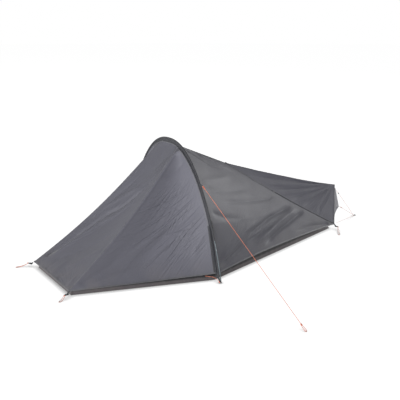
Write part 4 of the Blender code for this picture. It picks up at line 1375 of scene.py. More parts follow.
@dataclass
class Studio:
    """The pale floor, the white surroundings and the soft lights."""

    floor_radius: float = 60.0
    floor_drop: float = 0.0004
    floor_white: float = 0.45
    floor_glow: float = 0.97
    contact: float = 0.055
    sky: float = 0.05
    light_size: float = 8.0
    aim: Point = (0.3, 0.0, 0.35)
    lights: dict[str, tuple[Point, float]] = field(default_factory=lambda: {
        "key": ((-13.0, -11.98, 2.23), 2430), "fill": ((17.87, 1.85, 3.78), 1311),
        "front": ((-17.53, 1.56, 2.23), 1983)})

    def build(self) -> None:
        """Makes the world, the floor and the lights."""
        self.build_world()
        self.build_floor()
        for name, (place, power) in self.lights.items():
            self.build_light(name, place, power)

    def seen_white(self, graph: Graph) -> Socket:
        """Returns 1 where a ray from the camera, or one that mirrors or passes, looks."""
        path = graph.add("ShaderNodeLightPath").outputs
        either = graph.math("MAXIMUM", path["Is Camera Ray"], path["Is Glossy Ray"])
        return graph.math("MAXIMUM", either, path["Is Transmission Ray"])

    def build_world(self) -> None:
        """Makes the world white to the eye and plain as a light."""
        world = bpy.data.worlds.new("surroundings")
        world.use_nodes = True
        bpy.context.scene.world = world
        graph = Graph(world.node_tree)
        background = world.node_tree.nodes["Background"].inputs
        graph.feed(background["Color"], (1.0, 1.0, 1.0, 1.0))
        graph.feed(background["Strength"], graph.ramp(self.seen_white(graph), 0.0, 1.0, self.sky, 1.0, "LINEAR"))

    def build_floor(self) -> None:
        """Makes the floor, which takes the tent's shadow, and whose glow to the camera is darkened near the tent as a
        painted contact shadow.
        """
        bpy.ops.mesh.primitive_circle_add(vertices=96, radius=self.floor_radius, fill_type="NGON",
                                          location=(0.0, 0.0, -self.floor_drop))
        floor = bpy.context.object
        floor.name = "studio_floor"
        material = bpy.data.materials.new("studio_floor")
        surface = Surface(material)
        inputs, settings = {"Distance": self.contact}, {"samples": 12}
        # Painted contact shadow: the glow that the camera sees is cut by ambient occlusion close to the tent.
        painted_contact_shadow = surface.add("ShaderNodeAmbientOcclusion", inputs, settings).outputs["AO"]
        seen = surface.times(self.seen_white(surface), surface.math("POWER", painted_contact_shadow, 2.0))
        surface.set(Base_Color=(*[self.floor_white] * 3, 1.0), Roughness=0.9, Specular_IOR_Level=0.0,
                    Emission_Strength=1.0, Emission_Color=surface.grey(surface.times(seen, self.floor_glow)))
        floor.data.materials.append(material)

    def build_light(self, name: str, place: Point, power: float) -> None:
        """Makes one square soft light that looks at the tent."""
        data = bpy.data.lights.new(name, "AREA")
        data.shape, data.size, data.energy = "SQUARE", self.light_size, power
        light = bpy.data.objects.new(name, data)
        light.location = place
        light.rotation_euler = (Vector(place) - Vector(self.aim)).to_track_quat("Z", "Y").to_euler()
        bpy.context.scene.collection.objects.link(light)


HEAD_FOLDS = (
    Fold(((0.11, 0.23), (0.39, 0.33), (0.57, 0.44), (0.72, 0.51), (0.79, 0.6), (0.86, 0.71), (0.88, 0.83),
          (0.93, 0.95)), -0.027, 0.011, 1.2, (0.25, 0.1)),
    Fold(((0.06, 0.28), (0.34, 0.39), (0.52, 0.5), (0.66, 0.58), (0.75, 0.68), (0.81, 0.8), (0.86, 0.93)),
         0.012, 0.024, 1.6, (0.3, 0.15)),
    Fold(((0.3, 0.24), (0.6, 0.34), (0.84, 0.46), (0.94, 0.6)), 0.013, 0.02, 1.5, (0.3, 0.3)),
    Fold(((0.03, 0.1), (0.18, 0.2), (0.36, 0.32)), -0.007, 0.026, 1.6, (0.3, 0.3)),
    Fold(((0.8, 0.14), (0.92, 0.31), (0.96, 0.46), (0.97, 0.66)), 0.012, 0.014, 1.4, (0.3, 0.3)),
    Fold(((0.66, 0.2), (0.86, 0.38), (0.93, 0.54), (0.95, 0.72)), -0.014, 0.013, 1.3, (0.3, 0.3)),
    Fold(((0.08, 0.52), (0.3, 0.66), (0.58, 0.82), (0.8, 0.95)), -0.006, 0.03, 1.6, (0.3, 0.2)),
    Fold(((0.04, 0.66), (0.22, 0.78), (0.44, 0.92)), 0.006, 0.028, 1.7, (0.3, 0.2)),
    Fold(((0.3, 0.86), (0.36, 0.99)), -0.006, 0.018, 1.4, (0.6, 0.1)),
    Fold(((0.52, 0.84), (0.55, 0.99)), 0.006, 0.02, 1.5, (0.6, 0.1)),
    Fold(((0.7, 0.85), (0.7, 0.99)), -0.005, 0.018, 1.4, (0.6, 0.1)),
    Fold(((0.12, 0.88), (0.08, 0.99)), 0.005, 0.018, 1.5, (0.6, 0.1)),
)
DOOR_FOLDS = (
    Fold(((0.92, 0.1), (0.5, 0.13), (0.1, 0.17)), -0.006, 0.016, 1.4, (0.3, 0.3)),
    Fold(((0.96, 0.22), (0.82, 0.27), (0.58, 0.32), (0.35, 0.36), (0.18, 0.48)), -0.005, 0.014, 1.3, (0.2, 0.4)),
    Fold(((0.98, 0.32), (0.8, 0.37), (0.58, 0.44), (0.36, 0.54)), 0.006, 0.018, 1.5, (0.3, 0.5)),
    Fold(((0.97, 0.4), (0.8, 0.46), (0.63, 0.52), (0.44, 0.63), (0.26, 0.76)), 0.011, 0.016, 1.3, (0.2, 0.4)),
    Fold(((0.98, 0.46), (0.8, 0.53), (0.62, 0.62), (0.45, 0.74), (0.32, 0.84)), -0.008, 0.016, 1.4, (0.2, 0.4)),
    Fold(((0.97, 0.53), (0.82, 0.6), (0.67, 0.69), (0.52, 0.8), (0.42, 0.89)), 0.011, 0.016, 1.3, (0.2, 0.4)),
    Fold(((0.98, 0.6), (0.84, 0.69), (0.7, 0.8), (0.62, 0.9)), -0.006, 0.016, 1.4, (0.3, 0.5)),
    Fold(((0.98, 0.68), (0.9, 0.76), (0.82, 0.88)), 0.006, 0.018, 1.5, (0.3, 0.4)),
    Fold(((0.04, 0.97), (0.16, 0.82), (0.26, 0.66)), -0.006, 0.024, 1.5, (0.1, 0.5)),
    Fold(((0.05, 0.99), (0.28, 0.9), (0.48, 0.84)), 0.006, 0.022, 1.5, (0.1, 0.5)),
)
SIDE_FOLDS = (
    Fold(((0.03, 0.46), (0.2, 0.47), (0.45, 0.45), (0.8, 0.38)), -0.006, 0.028, 1.5, (0.15, 0.4)),
    Fold(((0.03, 0.42), (0.2, 0.38), (0.44, 0.32), (0.7, 0.24)), 0.005, 0.028, 1.6, (0.15, 0.4)),
    Fold(((0.02, 0.97), (0.14, 0.93), (0.28, 0.89), (0.47, 0.84), (0.74, 0.75)), -0.016, 0.02, 1.3, (0.1, 0.4)),
    Fold(((0.03, 0.93), (0.14, 0.87), (0.3, 0.8), (0.52, 0.72)), 0.011, 0.024, 1.6, (0.15, 0.4)),
    Fold(((0.38, 0.96), (0.5, 0.91), (0.64, 0.86), (0.98, 0.72)), -0.019, 0.018, 1.3, (0.2, 0.15)),
    Fold(((0.3, 0.93), (0.46, 0.87), (0.66, 0.79), (0.96, 0.68)), 0.014, 0.022, 1.5, (0.25, 0.2)),
    Fold(((0.2, 0.9), (0.36, 0.83), (0.62, 0.73), (0.95, 0.63)), -0.018, 0.02, 1.3, (0.3, 0.15)),
    Fold(((0.13, 0.56), (0.44, 0.56), (0.91, 0.51)), -0.008, 0.022, 1.4, (0.3, 0.2)),
    Fold(((0.14, 0.05), (0.17, 0.13), (0.34, 0.18), (0.55, 0.21)), -0.011, 0.018, 1.3, (0.2, 0.4)),
    Fold(((0.3, 0.04), (0.42, 0.1), (0.62, 0.14), (0.88, 0.16)), 0.01, 0.02, 1.6, (0.2, 0.3)),
    Fold(((0.98, 0.97), (0.84, 0.93), (0.66, 0.94)), -0.008, 0.018, 1.4, (0.1, 0.4)),
    Fold(((0.03, 0.62), (0.16, 0.68), (0.36, 0.71)), -0.008, 0.024, 1.5, (0.15, 0.5)),
)


def peak_ray(seam: float, height: float, width: float) -> Fold:
    """Returns a straight fold of the foot top, from a share of the near foot seam up to the peak."""
    steps = np.array([0.04, 0.25, 0.5, 0.75, 0.96])
    down = seam + steps * (1.0 - seam)
    return Fold(tuple(zip(0.5 * steps / down, down)), height, width, 1.3, (0.25, 0.3))


FOOT_FOLDS = tuple(peak_ray(*ray) for ray in (
    (0.16, -0.01, 0.016), (0.3, 0.006, 0.014), (0.4, -0.011, 0.013), (0.475, 0.006, 0.012), (0.55, -0.012, 0.012),
    (0.62, 0.006, 0.01), (0.68, -0.011, 0.011), (0.75, 0.006, 0.01), (0.82, -0.008, 0.01)))
END_FOLDS = (
    Fold(((0.48, 0.74), (0.24, 0.84), (0.06, 0.96)), -0.005, 0.012, 1.3, (0.1, 0.3)),
    Fold(((0.48, 0.7), (0.26, 0.6), (0.1, 0.52)), 0.004, 0.012, 1.5, (0.1, 0.3)),
)


HEAD_PULLS = (
    Pull((0.98, 0.99), (0.3, 0.25), 15.0, 1.45, 34.0, 0.004),
    Pull((0.0, 1.0), (0.6, 0.7), 40.0, 0.5, 14.0),
    Pull((0.05, 0.02), (0.5, 0.6), 22.0, 0.6, 18.0, 0.002),
)
FRONT_PULLS = (
    Pull((1.0, 0.42), (0.3, 0.78), 20.0, 1.05, 24.0, 0.0034, 0.6),
    Pull((1.0, 0.2), (0.45, 0.6), 18.0, 0.75, 30.0, 0.0024, 0.5),
    Pull((1.0, 0.64), (0.5, 0.98), 18.0, 0.6, 28.0, 0.0022, 0.45),
    Pull((0.0, 1.0), (0.5, 0.8), 30.0, 0.4, 16.0),
)
SIDE_PULLS = (
    Pull((1.0, 0.42), (0.3, 0.9), 16.0, 1.0, 22.0, 0.0012),
    Pull((0.0, 1.0), (0.6, 0.6), 24.0, 0.9, 13.0, 0.001),
    Pull((0.0, 0.44), (0.8, 0.4), 18.0, 0.6, 11.0, 0.0006),
    Pull((1.0, 1.0), (0.5, 0.8), 20.0, 0.6, 20.0),
)
FOOT_PULLS = (
    Pull((0.5, 0.995), (0.0, 0.6), 34.0, 0.95, 17.0, 0.0016),
    Pull((0.5, 0.995), (1.0, 0.6), 34.0, 0.95, 17.0, 0.0016),
)
END_PULLS = (Pull((0.5, 0.72), (0.0, 0.9), 60.0, 0.25, 9.0),)


@dataclass(frozen=True)
class PanelPlan:
    """How a fly panel hangs: its folds and pulls, how far its middle sinks in, what holds it, and a tone that paints
    its light and shade into its colour.
    """

    folds: tuple[Fold, ...]
    pulls: tuple[Pull, ...]
    hollow: float = 0.0
    lean: float = 1.0
    tone: float = 1.0
    held: tuple[Edge, ...] = (Edge.LEFT, Edge.RIGHT, Edge.START)
    rests_on: str = "pole_sleeve"

    def mirrored(self, lean: float) -> "PanelPlan":
        """Returns the plan of the panel on the other side."""
        return PanelPlan(tuple(fold.mirrored() for fold in self.folds), tuple(pull.mirrored() for pull in self.pulls),
                         self.hollow, lean, self.tone)


def both_sides(folds: tuple[Fold, ...]) -> tuple[Fold, ...]:
    """Returns folds with the like ones on the panel's other half."""
    return folds + tuple(fold.mirrored(shift=0.0) for fold in folds)


# The tones paint light and shade: every panel is the same fabric, lit ones get a tone over 1 and shaded ones under 1.
SIDE_PLAN = PanelPlan(SIDE_FOLDS, SIDE_PULLS, 0.03, tone=0.8)
PLANS = {
    "fly_head_panel": PanelPlan(HEAD_FOLDS, HEAD_PULLS, 0.038, tone=0.88),
    "fly_door": PanelPlan(DOOR_FOLDS, FRONT_PULLS, 0.084, 1.12, 1.14, (Edge.LEFT, Edge.START)),
    "fly_far_front_panel": PanelPlan(DOOR_FOLDS, FRONT_PULLS, 0.084).mirrored(0.9),
    "fly_near_side_panel": SIDE_PLAN,
    "fly_far_side_panel": SIDE_PLAN.mirrored(1.0),
    "fly_foot_top_panel": PanelPlan(both_sides(FOOT_FOLDS), FOOT_PULLS, 0.006, 1.0, 1.1,
                                    (Edge.LEFT, Edge.RIGHT, Edge.START, Edge.END), "foot_strut"),
    "fly_end_panel": PanelPlan(both_sides(END_FOLDS), END_PULLS, tone=0.9, rests_on="foot_strut"),
}


@dataclass
class Fly:
    """The outer tent, sewn from tensioned panels."""

    first_row: float = 0.04
    ridge_grid: tuple[int, int] = (130, 30)
    end_grid: tuple[int, int] = (44, 20)
    patch_lift: float = 0.0009
    bend_reach: Share = (0.052, 0.2)

    def __post_init__(self) -> None:
        """Works out the seams that the panels share, and how the door bends beside its seam."""
        self.head_far, self.foot_far = np.array(FORM.head_corner), np.array(FORM.foot_corner)
        self.head_near, self.foot_near = far_side(self.head_far), far_side(self.foot_far)
        top = BASE.at(BASE.seam_top, -FORM.leg_side)
        self.head_seam_near = hanging(top, self.head_near, FORM.head_seam_sag)
        self.head_seam_far = hanging(far_side(top), self.head_far, FORM.head_seam_sag)
        self.foot_seam_near = hanging(FORM.ridge_break, self.foot_near, FORM.foot_seam_sag)
        self.foot_seam_far = hanging(FORM.ridge_break, self.foot_far, FORM.foot_seam_sag)
        chord = unit(self.head_near - top)
        inward = BASE.at(0.0) - top
        across = unit(inward - chord * (inward @ chord))
        self.door_bend = Blend(TENT, "fly_door", *(top + across * reach for reach in self.bend_reach))

    def head_grid(self) -> Array:
        """Returns the head panel's points, arched at the hoop and raised a little at its hem."""
        def hem(u: Array) -> Array:
            """Returns the hem's places."""
            bow = UP * FORM.head_hem_rise + ALONG * FORM.head_hem_bow
            return hanging(self.head_near, self.head_far)(u) + bow * np.sin(math.pi * u)[:, None]

        arch = BASE.rail(BASE.seam_top, 1.0 - BASE.seam_top, -FORM.leg_side)
        grid = arched(ruled(self.head_seam_near, self.head_seam_far), arch)
        return arched(grid[::-1], hem)[::-1]

    def front_grid(self, x: float) -> Array:
        """Returns the points of a front panel, whose hem is cut away towards a leg at x."""
        leg = BASE.rail(BASE.seam_top, 0.0, -x)
        return trimmed(self.head_seam_near, leg, lambda across: FORM.door_hem_trim * across, self.first_row)

    def side_trim(self, across: Array) -> Array:
        """Returns how much of a side panel's hem is cut away, from the leg to the foot corner."""
        return FORM.side_hem_trim * np.clip(np.sin(math.pi * across), 0.0, 1.0) ** FORM.side_hem_power

    def end_middle(self) -> Rail:
        """Returns the end panel's middle line, from the peak out to the pulled point and in to the hem."""
        peak, pulled, low = (np.array(p) for p in (FORM.foot_peak, FORM.pull_out, FORM.end_hem))
        turn = (peak[2] - pulled[2]) / (peak[2] - low[2])

        def rail(v: Array) -> Array:
            """Returns the line's places."""
            v = np.asarray(v, float)[..., None]
            upper = peak + (pulled - peak) * np.minimum(v / turn, 1.0)
            return upper + (low - pulled) * np.maximum((v - turn) / (1.0 - turn), 0.0)
        return rail

    def cut(self) -> dict[str, Sheet]:
        """Cuts every panel, flat between its seams, by name."""
        side = trimmed(BASE.rail(0.5, 0.0, FORM.leg_side), self.foot_seam_near, self.side_trim)
        peak = np.array(FORM.foot_peak)
        ridge = hanging(FORM.ridge_break, peak, FORM.ridge_sag)
        end_near, end_far = hanging(peak, self.foot_near), hanging(peak, self.foot_far)
        return {
            "fly_head_panel": Sheet(self.head_grid()),
            "fly_door": Sheet(self.front_grid(FORM.door_edge)),
            "fly_far_front_panel": Sheet(self.front_grid(FORM.leg_side)[:, ::-1] * FAR),
            "fly_near_side_panel": Sheet(side),
            "fly_far_side_panel": Sheet(side[:, ::-1] * FAR),
            "fly_foot_top_panel": creased(self.foot_seam_near, ridge, self.foot_seam_far, 0.004, self.ridge_grid),
            "fly_end_panel": creased(end_near, self.end_middle(), end_far, 0.12, self.end_grid)}

    def band(self, name: str, panel: str, edge: Edge, finish: Finish = FLY_BAND, outline: Sequence[Share] = FELLED,
             part: Share = (0.0, 1.0)) -> None:
        """Adds a felled seam, a binding or a rolled hem along one edge of a panel.

        Args:
            name: The piece's name.
            panel: The panel's name.
            edge: The panel's edge that the band follows.
            finish: The band's finish.
            outline: The band's cross section.
            part: Where on the edge it starts and ends, as shares.
        """
        rides = self.door_bend if panel == "fly_door" else TENT
        add_piece(name, banded(self.sheets[panel].edge(edge).part(*part), outline, 0.12), finish, rides)

    def build(self) -> None:
        """Makes every panel with its seams, hems and patches."""
        self.sheets = self.cut()
        for name, sheet in self.sheets.items():
            plan = PLANS[name]
            sheet.dress(plan.folds, plan.held, plan.hollow, plan.lean)
            rides = self.door_bend if name == "fly_door" else TENT
            # The plan's tone scales the fabric's colour as painted light and shade.
            finish = FLY.pulled(name, plan.pulls, sheet, plan.tone)
            add_panel(name, sheet, FORM.cloth, finish, rides)
        self.build_seams()
        self.build_hems()
        self.build_patches()
        self.build_gussets()

    def build_seams(self) -> None:
        """Makes the felled seams, and on the lower half of each foot seam a dark binding that also paints the shadow
        line of the overlapping seam.
        """
        for name, panel, edge in (
                ("head_seam_near", "fly_head_panel", Edge.LEFT), ("head_seam_far", "fly_head_panel", Edge.RIGHT),
                ("head_arch_seam", "fly_head_panel", Edge.START), ("ridge_seam", "fly_near_side_panel", Edge.START),
                ("side_leg_seam_near", "fly_near_side_panel", Edge.LEFT),
                ("side_leg_seam_far", "fly_far_side_panel", Edge.RIGHT),
                ("far_front_leg_seam", "fly_far_front_panel", Edge.LEFT)):
            self.band(name, panel, edge)
        for side, edge in (("near", Edge.LEFT), ("far", Edge.RIGHT)):
            self.band(f"foot_seam_{side}", "fly_foot_top_panel", edge, part=(0.0, 0.44))
            # The dark binding is partly a real tape and partly a painted shadow line along the seam.
            self.band(f"foot_binding_{side}", "fly_foot_top_panel", edge, DARK, part=(0.4, 1.0))
            self.band(f"end_seam_{side}", "fly_end_panel", edge)
        self.band("foot_peak_seam", "fly_foot_top_panel", Edge.END)

    def build_hems(self) -> None:
        """Makes the rolled hems, and the dark edge of the door beside its zip, a dark hem that also paints the shadow
        line along that edge.
        """
        for name, panel in (("head_hem", "fly_head_panel"), ("door_hem", "fly_door"),
                            ("far_front_hem", "fly_far_front_panel"), ("side_hem_near", "fly_near_side_panel"),
                            ("side_hem_far", "fly_far_side_panel"), ("end_hem", "fly_end_panel")):
            self.band(name, panel, Edge.END, FLY_HEM, ROLLED_HEM)
        below = 1.0 - BASE.straight / BASE.seam_top
        self.band("door_leg_edge", "fly_door", Edge.RIGHT, FLY_BAND, ROLLED_HEM, (0.0, below))
        # This dark hem is partly the door's edge and partly painted shadow beside the zip.
        self.band("door_zip_edge", "fly_door", Edge.RIGHT, DARK, ROLLED_HEM, (below, 1.0))

    def build_patches(self) -> None:
        """Makes the reinforcing patches at the corners and at the tops of the head seams."""
        for name, panel, corners in (
                ("corner_patch_head", "fly_head_panel", ((0.0, 0.955), (0.0, 0.955), (0.13, 0.995), (0.0, 0.995))),
                ("corner_patch_foot", "fly_{}_side_panel", ((1.0, 0.93), (1.0, 0.93), (1.0, 0.992), (0.955, 0.992))),
                ("hoop_patch", "fly_head_panel", ((0.0, 0.0), (0.1, 0.0), (0.0, 0.07), (0.0, 0.07)))):
            for side in SIDES:
                places = corners if side == "near" else [mirrored_share(corners[k]) for k in (1, 0, 3, 2)]
                layer = self.sheets[panel.format(side)].patch(places, self.patch_lift)
                add_piece(f"{name}_{side}", layer.mesh(FORM.cloth), PATCH)

    def build_gussets(self) -> None:
        """Makes the small gusset that closes the door's and the far front panel's narrow top."""
        v = np.linspace(0.0, self.first_row + 0.012, 12)
        leg = BASE.at(BASE.seam_top * (1.0 - v), -FORM.leg_side)
        share = np.linspace(0.0, 1.0, 7)[None, :, None]
        near = self.head_seam_near(v)[:, None] * (1.0 - share) + leg[:, None] * share
        for side, grid in (("near", near), ("far", near[:, ::-1] * FAR)):
            layer = Sheet(grid)
            layer.settle(layer.points + layer.normals * self.patch_lift)
            add_piece(f"hoop_gusset_{side}", layer.mesh(FORM.cloth), PATCH)


@dataclass
class Pole:
    """The hoop pole: hollow sections with a moulded tip at each foot, and its ferrules and cord inside."""

    sections: int = 5
    radius: float = 0.0045
    bore: float = 0.0038
    tip_share: float = 0.3 / 36.0
    lift_share: float = 0.04 / 36.0
    joint_share: float = 0.0001
    ferrule_half: float = 0.55 / 36.0
    ferrule_radius: float = 0.0034
    ferrule_bore: float = 0.0026
    cord_radius: float = 0.0013
    tip_rings: Share = ((0, 0.0016), (1, 0.0028), (3, 0.0032), (5, 0.003), (9, 0.0032), (10, 0.0045), (13, 0.0046))

    def build(self) -> None:
        """Makes the sections, the ferrules, the tips and the elastic cord."""
        joints = np.linspace(self.tip_share, 1.0 - self.tip_share, self.sections + 1)
        for k, (start, end) in enumerate(zip(joints, joints[1:]), 1):
            mesh = hoop_tube(start, end - self.joint_share, self.radius, self.bore)
            dress_node(f"pole_section_{k}", "tube", mesh, POLE)
        for side, flip in SIDES.items():
            self.build_tip(side, flip)
        for k, joint in enumerate(joints[1:-1], 1):
            mesh = hoop_tube(joint - self.ferrule_half, joint + self.ferrule_half, self.ferrule_radius,
                             self.ferrule_bore, 12)
            dress_node(f"pole_ferrule_{k}", "sleeve", mesh, METAL)
        line = HOOP.point(np.linspace(joints[0], joints[-1], 160), FORM.pole_inset)
        dress_node("pole_shock_cord", "elastic", tube(line, self.cord_radius, 8), ELASTIC)

    def build_tip(self, side: str, flip: Array) -> None:
        """Makes a moulded foot: a collar on the tube, a waist and a rounded peg."""
        rings, radii = zip(*self.tip_rings)
        line = HOOP.point(np.linspace(self.lift_share, self.tip_share, 14), FORM.pole_inset) * flip
        dress_node(f"pole_tip_{side}", "foot", tube(line, np.interp(np.arange(14), rings, radii), 16), BLACK)


@dataclass
class Sleeve:
    """The outside pole sleeve, a dark fin with the pole in its outer edge."""

    radius: float = 0.0075
    web: float = 0.0009
    half_turn: float = math.radians(166.0)

    def build(self) -> None:
        """Makes the sleeve with gathers along its web."""
        share = np.linspace(HOOP.sleeve_start, 1.0 - HOOP.sleeve_start, 260)
        centre, out = HOOP.point(share, FORM.pole_inset), HOOP.out(share)
        depth = HOOP.depth(share) - FORM.pole_inset
        run = lengths(centre)
        sway = 0.0011 * np.sin(run * TURN / 0.037 + 1.5 * np.sin(run * 11.0))
        pinch = 1.0 + 0.03 * np.sin(run * TURN / 0.029)

        def web(stop: float, side: float) -> tuple[Array, Array, float]:
            """Returns one line of the web: how far out and how far along it is, and its place round the ring."""
            away = -depth * stop - self.radius * 0.97 * (1.0 - stop)
            return away, side + sway * math.sin(math.pi * stop), 0.01 * (1 - stop)

        stops = np.linspace(1.0, 0.0, 6)
        lines = [web(stop, -self.web) for stop in stops]
        for angle in np.linspace(-self.half_turn, self.half_turn, 15):
            side = np.full(len(share), self.radius * math.sin(angle))
            lines.append((self.radius * math.cos(angle) * pinch, side, 0.02 + 0.008 * angle))
        lines += [web(stop, self.web) for stop in stops[::-1]]
        rings = np.stack([centre + out * away[:, None] + ALONG * side[:, None] for away, side, _ in lines], axis=1)
        mesh = swept(rings, run, np.array([place for _, _, place in lines + lines[:1]]))
        dress_node("pole_sleeve", "fin", mesh, DARK)


def wound_knot(name: str, centre: Array, way: Array, radius: float, turns: int, cord_radius: float,
               rides: Rides = TENT) -> bpy.types.Object:
    """Makes a knot as a cord wound round its own line, drawn tight at both ends.

    Args:
        name: The piece's name.
        centre: The middle of the knot.
        way: The way of the line.
        radius: How far out the knot reaches.
        turns: How often the cord goes round.
        cord_radius: The cord's own radius.
        rides: The body that it rides on, or a Blend between two, which leaves it unparented.

    Returns:
        The piece.
    """
    side = unit(np.cross(way, UP))
    share = np.linspace(0.0, 1.0, 16 * turns)
    angle = share * turns * TURN
    swell = (0.55 + 0.45 * np.sin(math.pi * share)) * (radius - cord_radius)
    line = (centre + way * ((share - 0.5) * turns * 2.1 * cord_radius)[:, None]
            + side * (np.cos(angle) * swell)[:, None] + np.cross(way, side) * (np.sin(angle) * swell)[:, None])
    lift = max(0.0, 0.0003 + cord_radius - float(line[:, 2].min()))
    return add_piece(name, tube(line + UP * lift, cord_radius, 8), CORD, rides)


def runner_mesh(centre: Array, way: Array, length: float, width: float, thickness: float) -> Mesh:
    """Makes a line runner: a rounded plate with a waist, grip ribs and a mouth for the cord at each end.

    Args:
        centre: Its middle.
        way: The way of the line through it.
        length: Its length.
        width: Its width.
        thickness: Its thickness.

    Returns:
        The mesh.
    """
    stops = np.linspace(-0.5, 0.5, 25)
    round_end = np.sqrt(np.clip(1.0 - (2 * np.abs(stops)) ** 6, 0.05, 1.0))
    waist = (1.0 - 0.22 * np.exp(-((stops - 0.05) / 0.16) ** 2)) * (1.0 - 0.3 * (stops + 0.5))
    grip = 1.0 + 0.06 * np.sin(stops * TURN * 6)
    seat = Seat(centre, way, unit(np.cross(way, UP)))
    return seat.plate(stops * length, width / 2 * round_end * waist, thickness / 2 * round_end * grip, 0.6,
                      2 * (width + thickness), sides=20)


@dataclass
class Guylines:
    """The near guyline, the three foot lines, their runners, tabs and ring."""

    cord_radius: float = 0.0012
    guy_radius: float = 0.0017
    ground: Share = (-0.01, -1.695)
    tab_y: float = 0.47
    tab_length: float = 0.014
    tab_drawn: float = 0.012
    gap: float = 0.0003
    ring_x: float = 2.172
    ring_major: float = 0.009
    ring_minor: float = 0.0022

    def build(self) -> None:
        """Makes every line with what is on it."""
        share = HOOP.share_at_y(-self.tab_y)
        self.out = HOOP.out(share)
        self.tab = HOOP.point(share) + self.out * (self.gap + self.tab_length / 2)
        for side, flip in SIDES.items():
            self.build_tab(side, flip)
        self.build_near()
        self.build_foot()

    def build_tab(self, side: str, flip: Array) -> None:
        """Makes the webbing loop on one side of the sleeve."""
        centre, out = self.tab * flip, self.out * flip
        top = centre + out * (self.tab_length / 2)
        top = top + unit(np.array([*self.ground, 0.0]) - self.tab) * self.tab_drawn * flip
        low, waist = centre - out * (self.tab_length / 2), centre + out * (self.tab_length * 0.15)
        route = [low - ALONG * 0.0011, waist - ALONG * 0.0016, top - ALONG * 0.0006, top + ALONG * 0.0006,
                 waist + ALONG * 0.0016, low + ALONG * 0.0011]
        across = np.array([0.0, -out[2], out[1]])
        dress_node(f"guy_tab_{side}", "loop", strap(smooth_route(route, 26), across, 0.012, 0.0009), WEBBING)

    def build_near(self) -> None:
        """Makes the long guyline, its runner and the loop at its end."""
        radius = self.guy_radius
        start = self.tab + self.out * (self.tab_length / 2)
        ground = np.array([*self.ground, radius])
        run = unit(ground - start)
        knot = ground - run * 0.075
        start = start + run * (radius + 0.0018)
        begin = start + run * self.tab_drawn
        straight = begin + (knot - begin) * (np.arange(13) / 12)[:, None]
        loop = np.array([knot + run * 0.025 + ALONG * 0.003, ground - run * 0.016 + ALONG * 0.007, ground,
                         ground - run * 0.016 - ALONG * 0.007, knot + run * 0.022 - ALONG * 0.0048])
        loop[:, 2] = np.maximum(loop[:, 2], radius + 0.0002)
        line = np.vstack([straight[:-1], smooth_route([knot, *loop], 40)])
        ties = [wound_knot("guyline_near_knot", knot + run * 0.018, run, 0.0062, 4, radius),
                wound_knot("guyline_near_hitch", start + run * 0.014, run, 0.005, 3, radius)]
        add_cord("guyline_near", line, radius)
        dress_node("guyline_runner_near", "plate", runner_mesh(start + run * 0.03, run, 0.026, 0.013, 0.0065),
                   ORANGE, "guy_runner")

    def build_foot(self) -> None:
        """Makes the three lines at the foot end, the ring that joins them and their runners."""
        middle = np.array([self.ring_x, 0.0, self.ring_minor + 0.0002])
        round_line = circle(middle, self.ring_major, 48)
        ring = dress_node("foot_line_ring", "round", closed_tube(round_line, self.ring_minor), BLACK)
        peak, pulled = np.array(FORM.foot_peak), np.array(FORM.pull_out)
        corner = far_side(FORM.foot_corner) + np.array([0.018, -0.004, 0.012])
        self.build_foot_line("peak", peak + (pulled - peak) * 0.26 + ALONG * 0.006, -0.6, middle,
                             (0.045, 0.022, BLACK))
        self.build_foot_line("middle", pulled + ALONG * 0.004, 0.0, middle, (0.03, 0.024, ORANGE))
        self.build_foot_line("corner", corner, 0.15, middle, None)

    def build_foot_line(self, name: str, begin: Array, turn: float, middle: Array,
                        runner: tuple[float, float, Finish] | None) -> None:
        """Makes one line from the foot to the ring.

        Args:
            name: The line's name.
            begin: Where it leaves the fly.
            turn: How far round the ring it ends, as a slope off the straight way to it.
            middle: The middle of the ring.
            runner: How far down the line its runner is, and the runner's length and finish, where it has one.
        """
        towards = unit(np.array([begin[0] - middle[0], begin[1] - middle[1], 0.0]))
        edge = unit(towards + np.array([-towards[1], towards[0], 0.0]) * turn)
        end = middle + edge * (self.ring_major + self.ring_minor + self.cord_radius + 2 * self.gap) + UP * 0.0012
        way = unit(end - begin)
        begin = begin + way * 0.004
        line = begin + (end - begin) * (np.arange(25) / 24)[:, None]
        add_cord(f"foot_line_{name}", line, self.cord_radius)
        if runner:
            distance, length, finish = runner
            plate = runner_mesh(begin + way * distance, way, length, 0.011, 0.0065)
            dress_node(f"foot_line_runner_{name}", "plate", plate, finish, f"{name}_runner")


def rounded_loop(length: float, width: float, radius: float, corner: int = 6) -> Array:
    """Returns a flat closed line with round corners.

    Args:
        length: The loop's length.
        width: The loop's width.
        radius: The radius of its corners.
        corner: How many steps a corner takes.

    Returns:
        The loop's points, in its own plane.
    """
    points = []
    for k, (sx, sy) in enumerate(((1, 1), (-1, 1), (-1, -1), (1, -1))):
        for step in range(corner + 1):
            angle = math.pi / 2 * (k + step / corner)
            points.append((sx * (length / 2 - radius) + radius * math.cos(angle),
                           sy * (width / 2 - radius) + radius * math.sin(angle), 0.0))
    return np.array(points)


def closed_band(loop: Array, normal: Array, half_width: float, half_height: float) -> Mesh:
    """Makes a closed bar with a soft square section along a flat closed line."""
    side = np.cross(unit(np.roll(loop, -1, axis=0) - np.roll(loop, 1, axis=0)), normal)
    across, rise = soft_square(16, 0.55)
    rings = loop[:, None] + side[:, None] * (across * half_width)[:, None] + normal * (rise * half_height)[:, None]
    return swept(rings, lengths(loop), np.linspace(0.0, 4 * (half_width + half_height), 17), closed=True)


def joined(meshes: Sequence[Mesh]) -> Mesh:
    """Puts the meshes of one moulded part together, and frees them."""
    bm = bmesh.new()
    for mesh in meshes:
        bm.from_mesh(mesh)
        bpy.data.meshes.remove(mesh)
    result = bpy.data.meshes.new("piece")
    bm.to_mesh(result)
    bm.free()
    result.shade_smooth()
    result.set_sharp_from_angle(angle=HARD_EDGE)
    return result


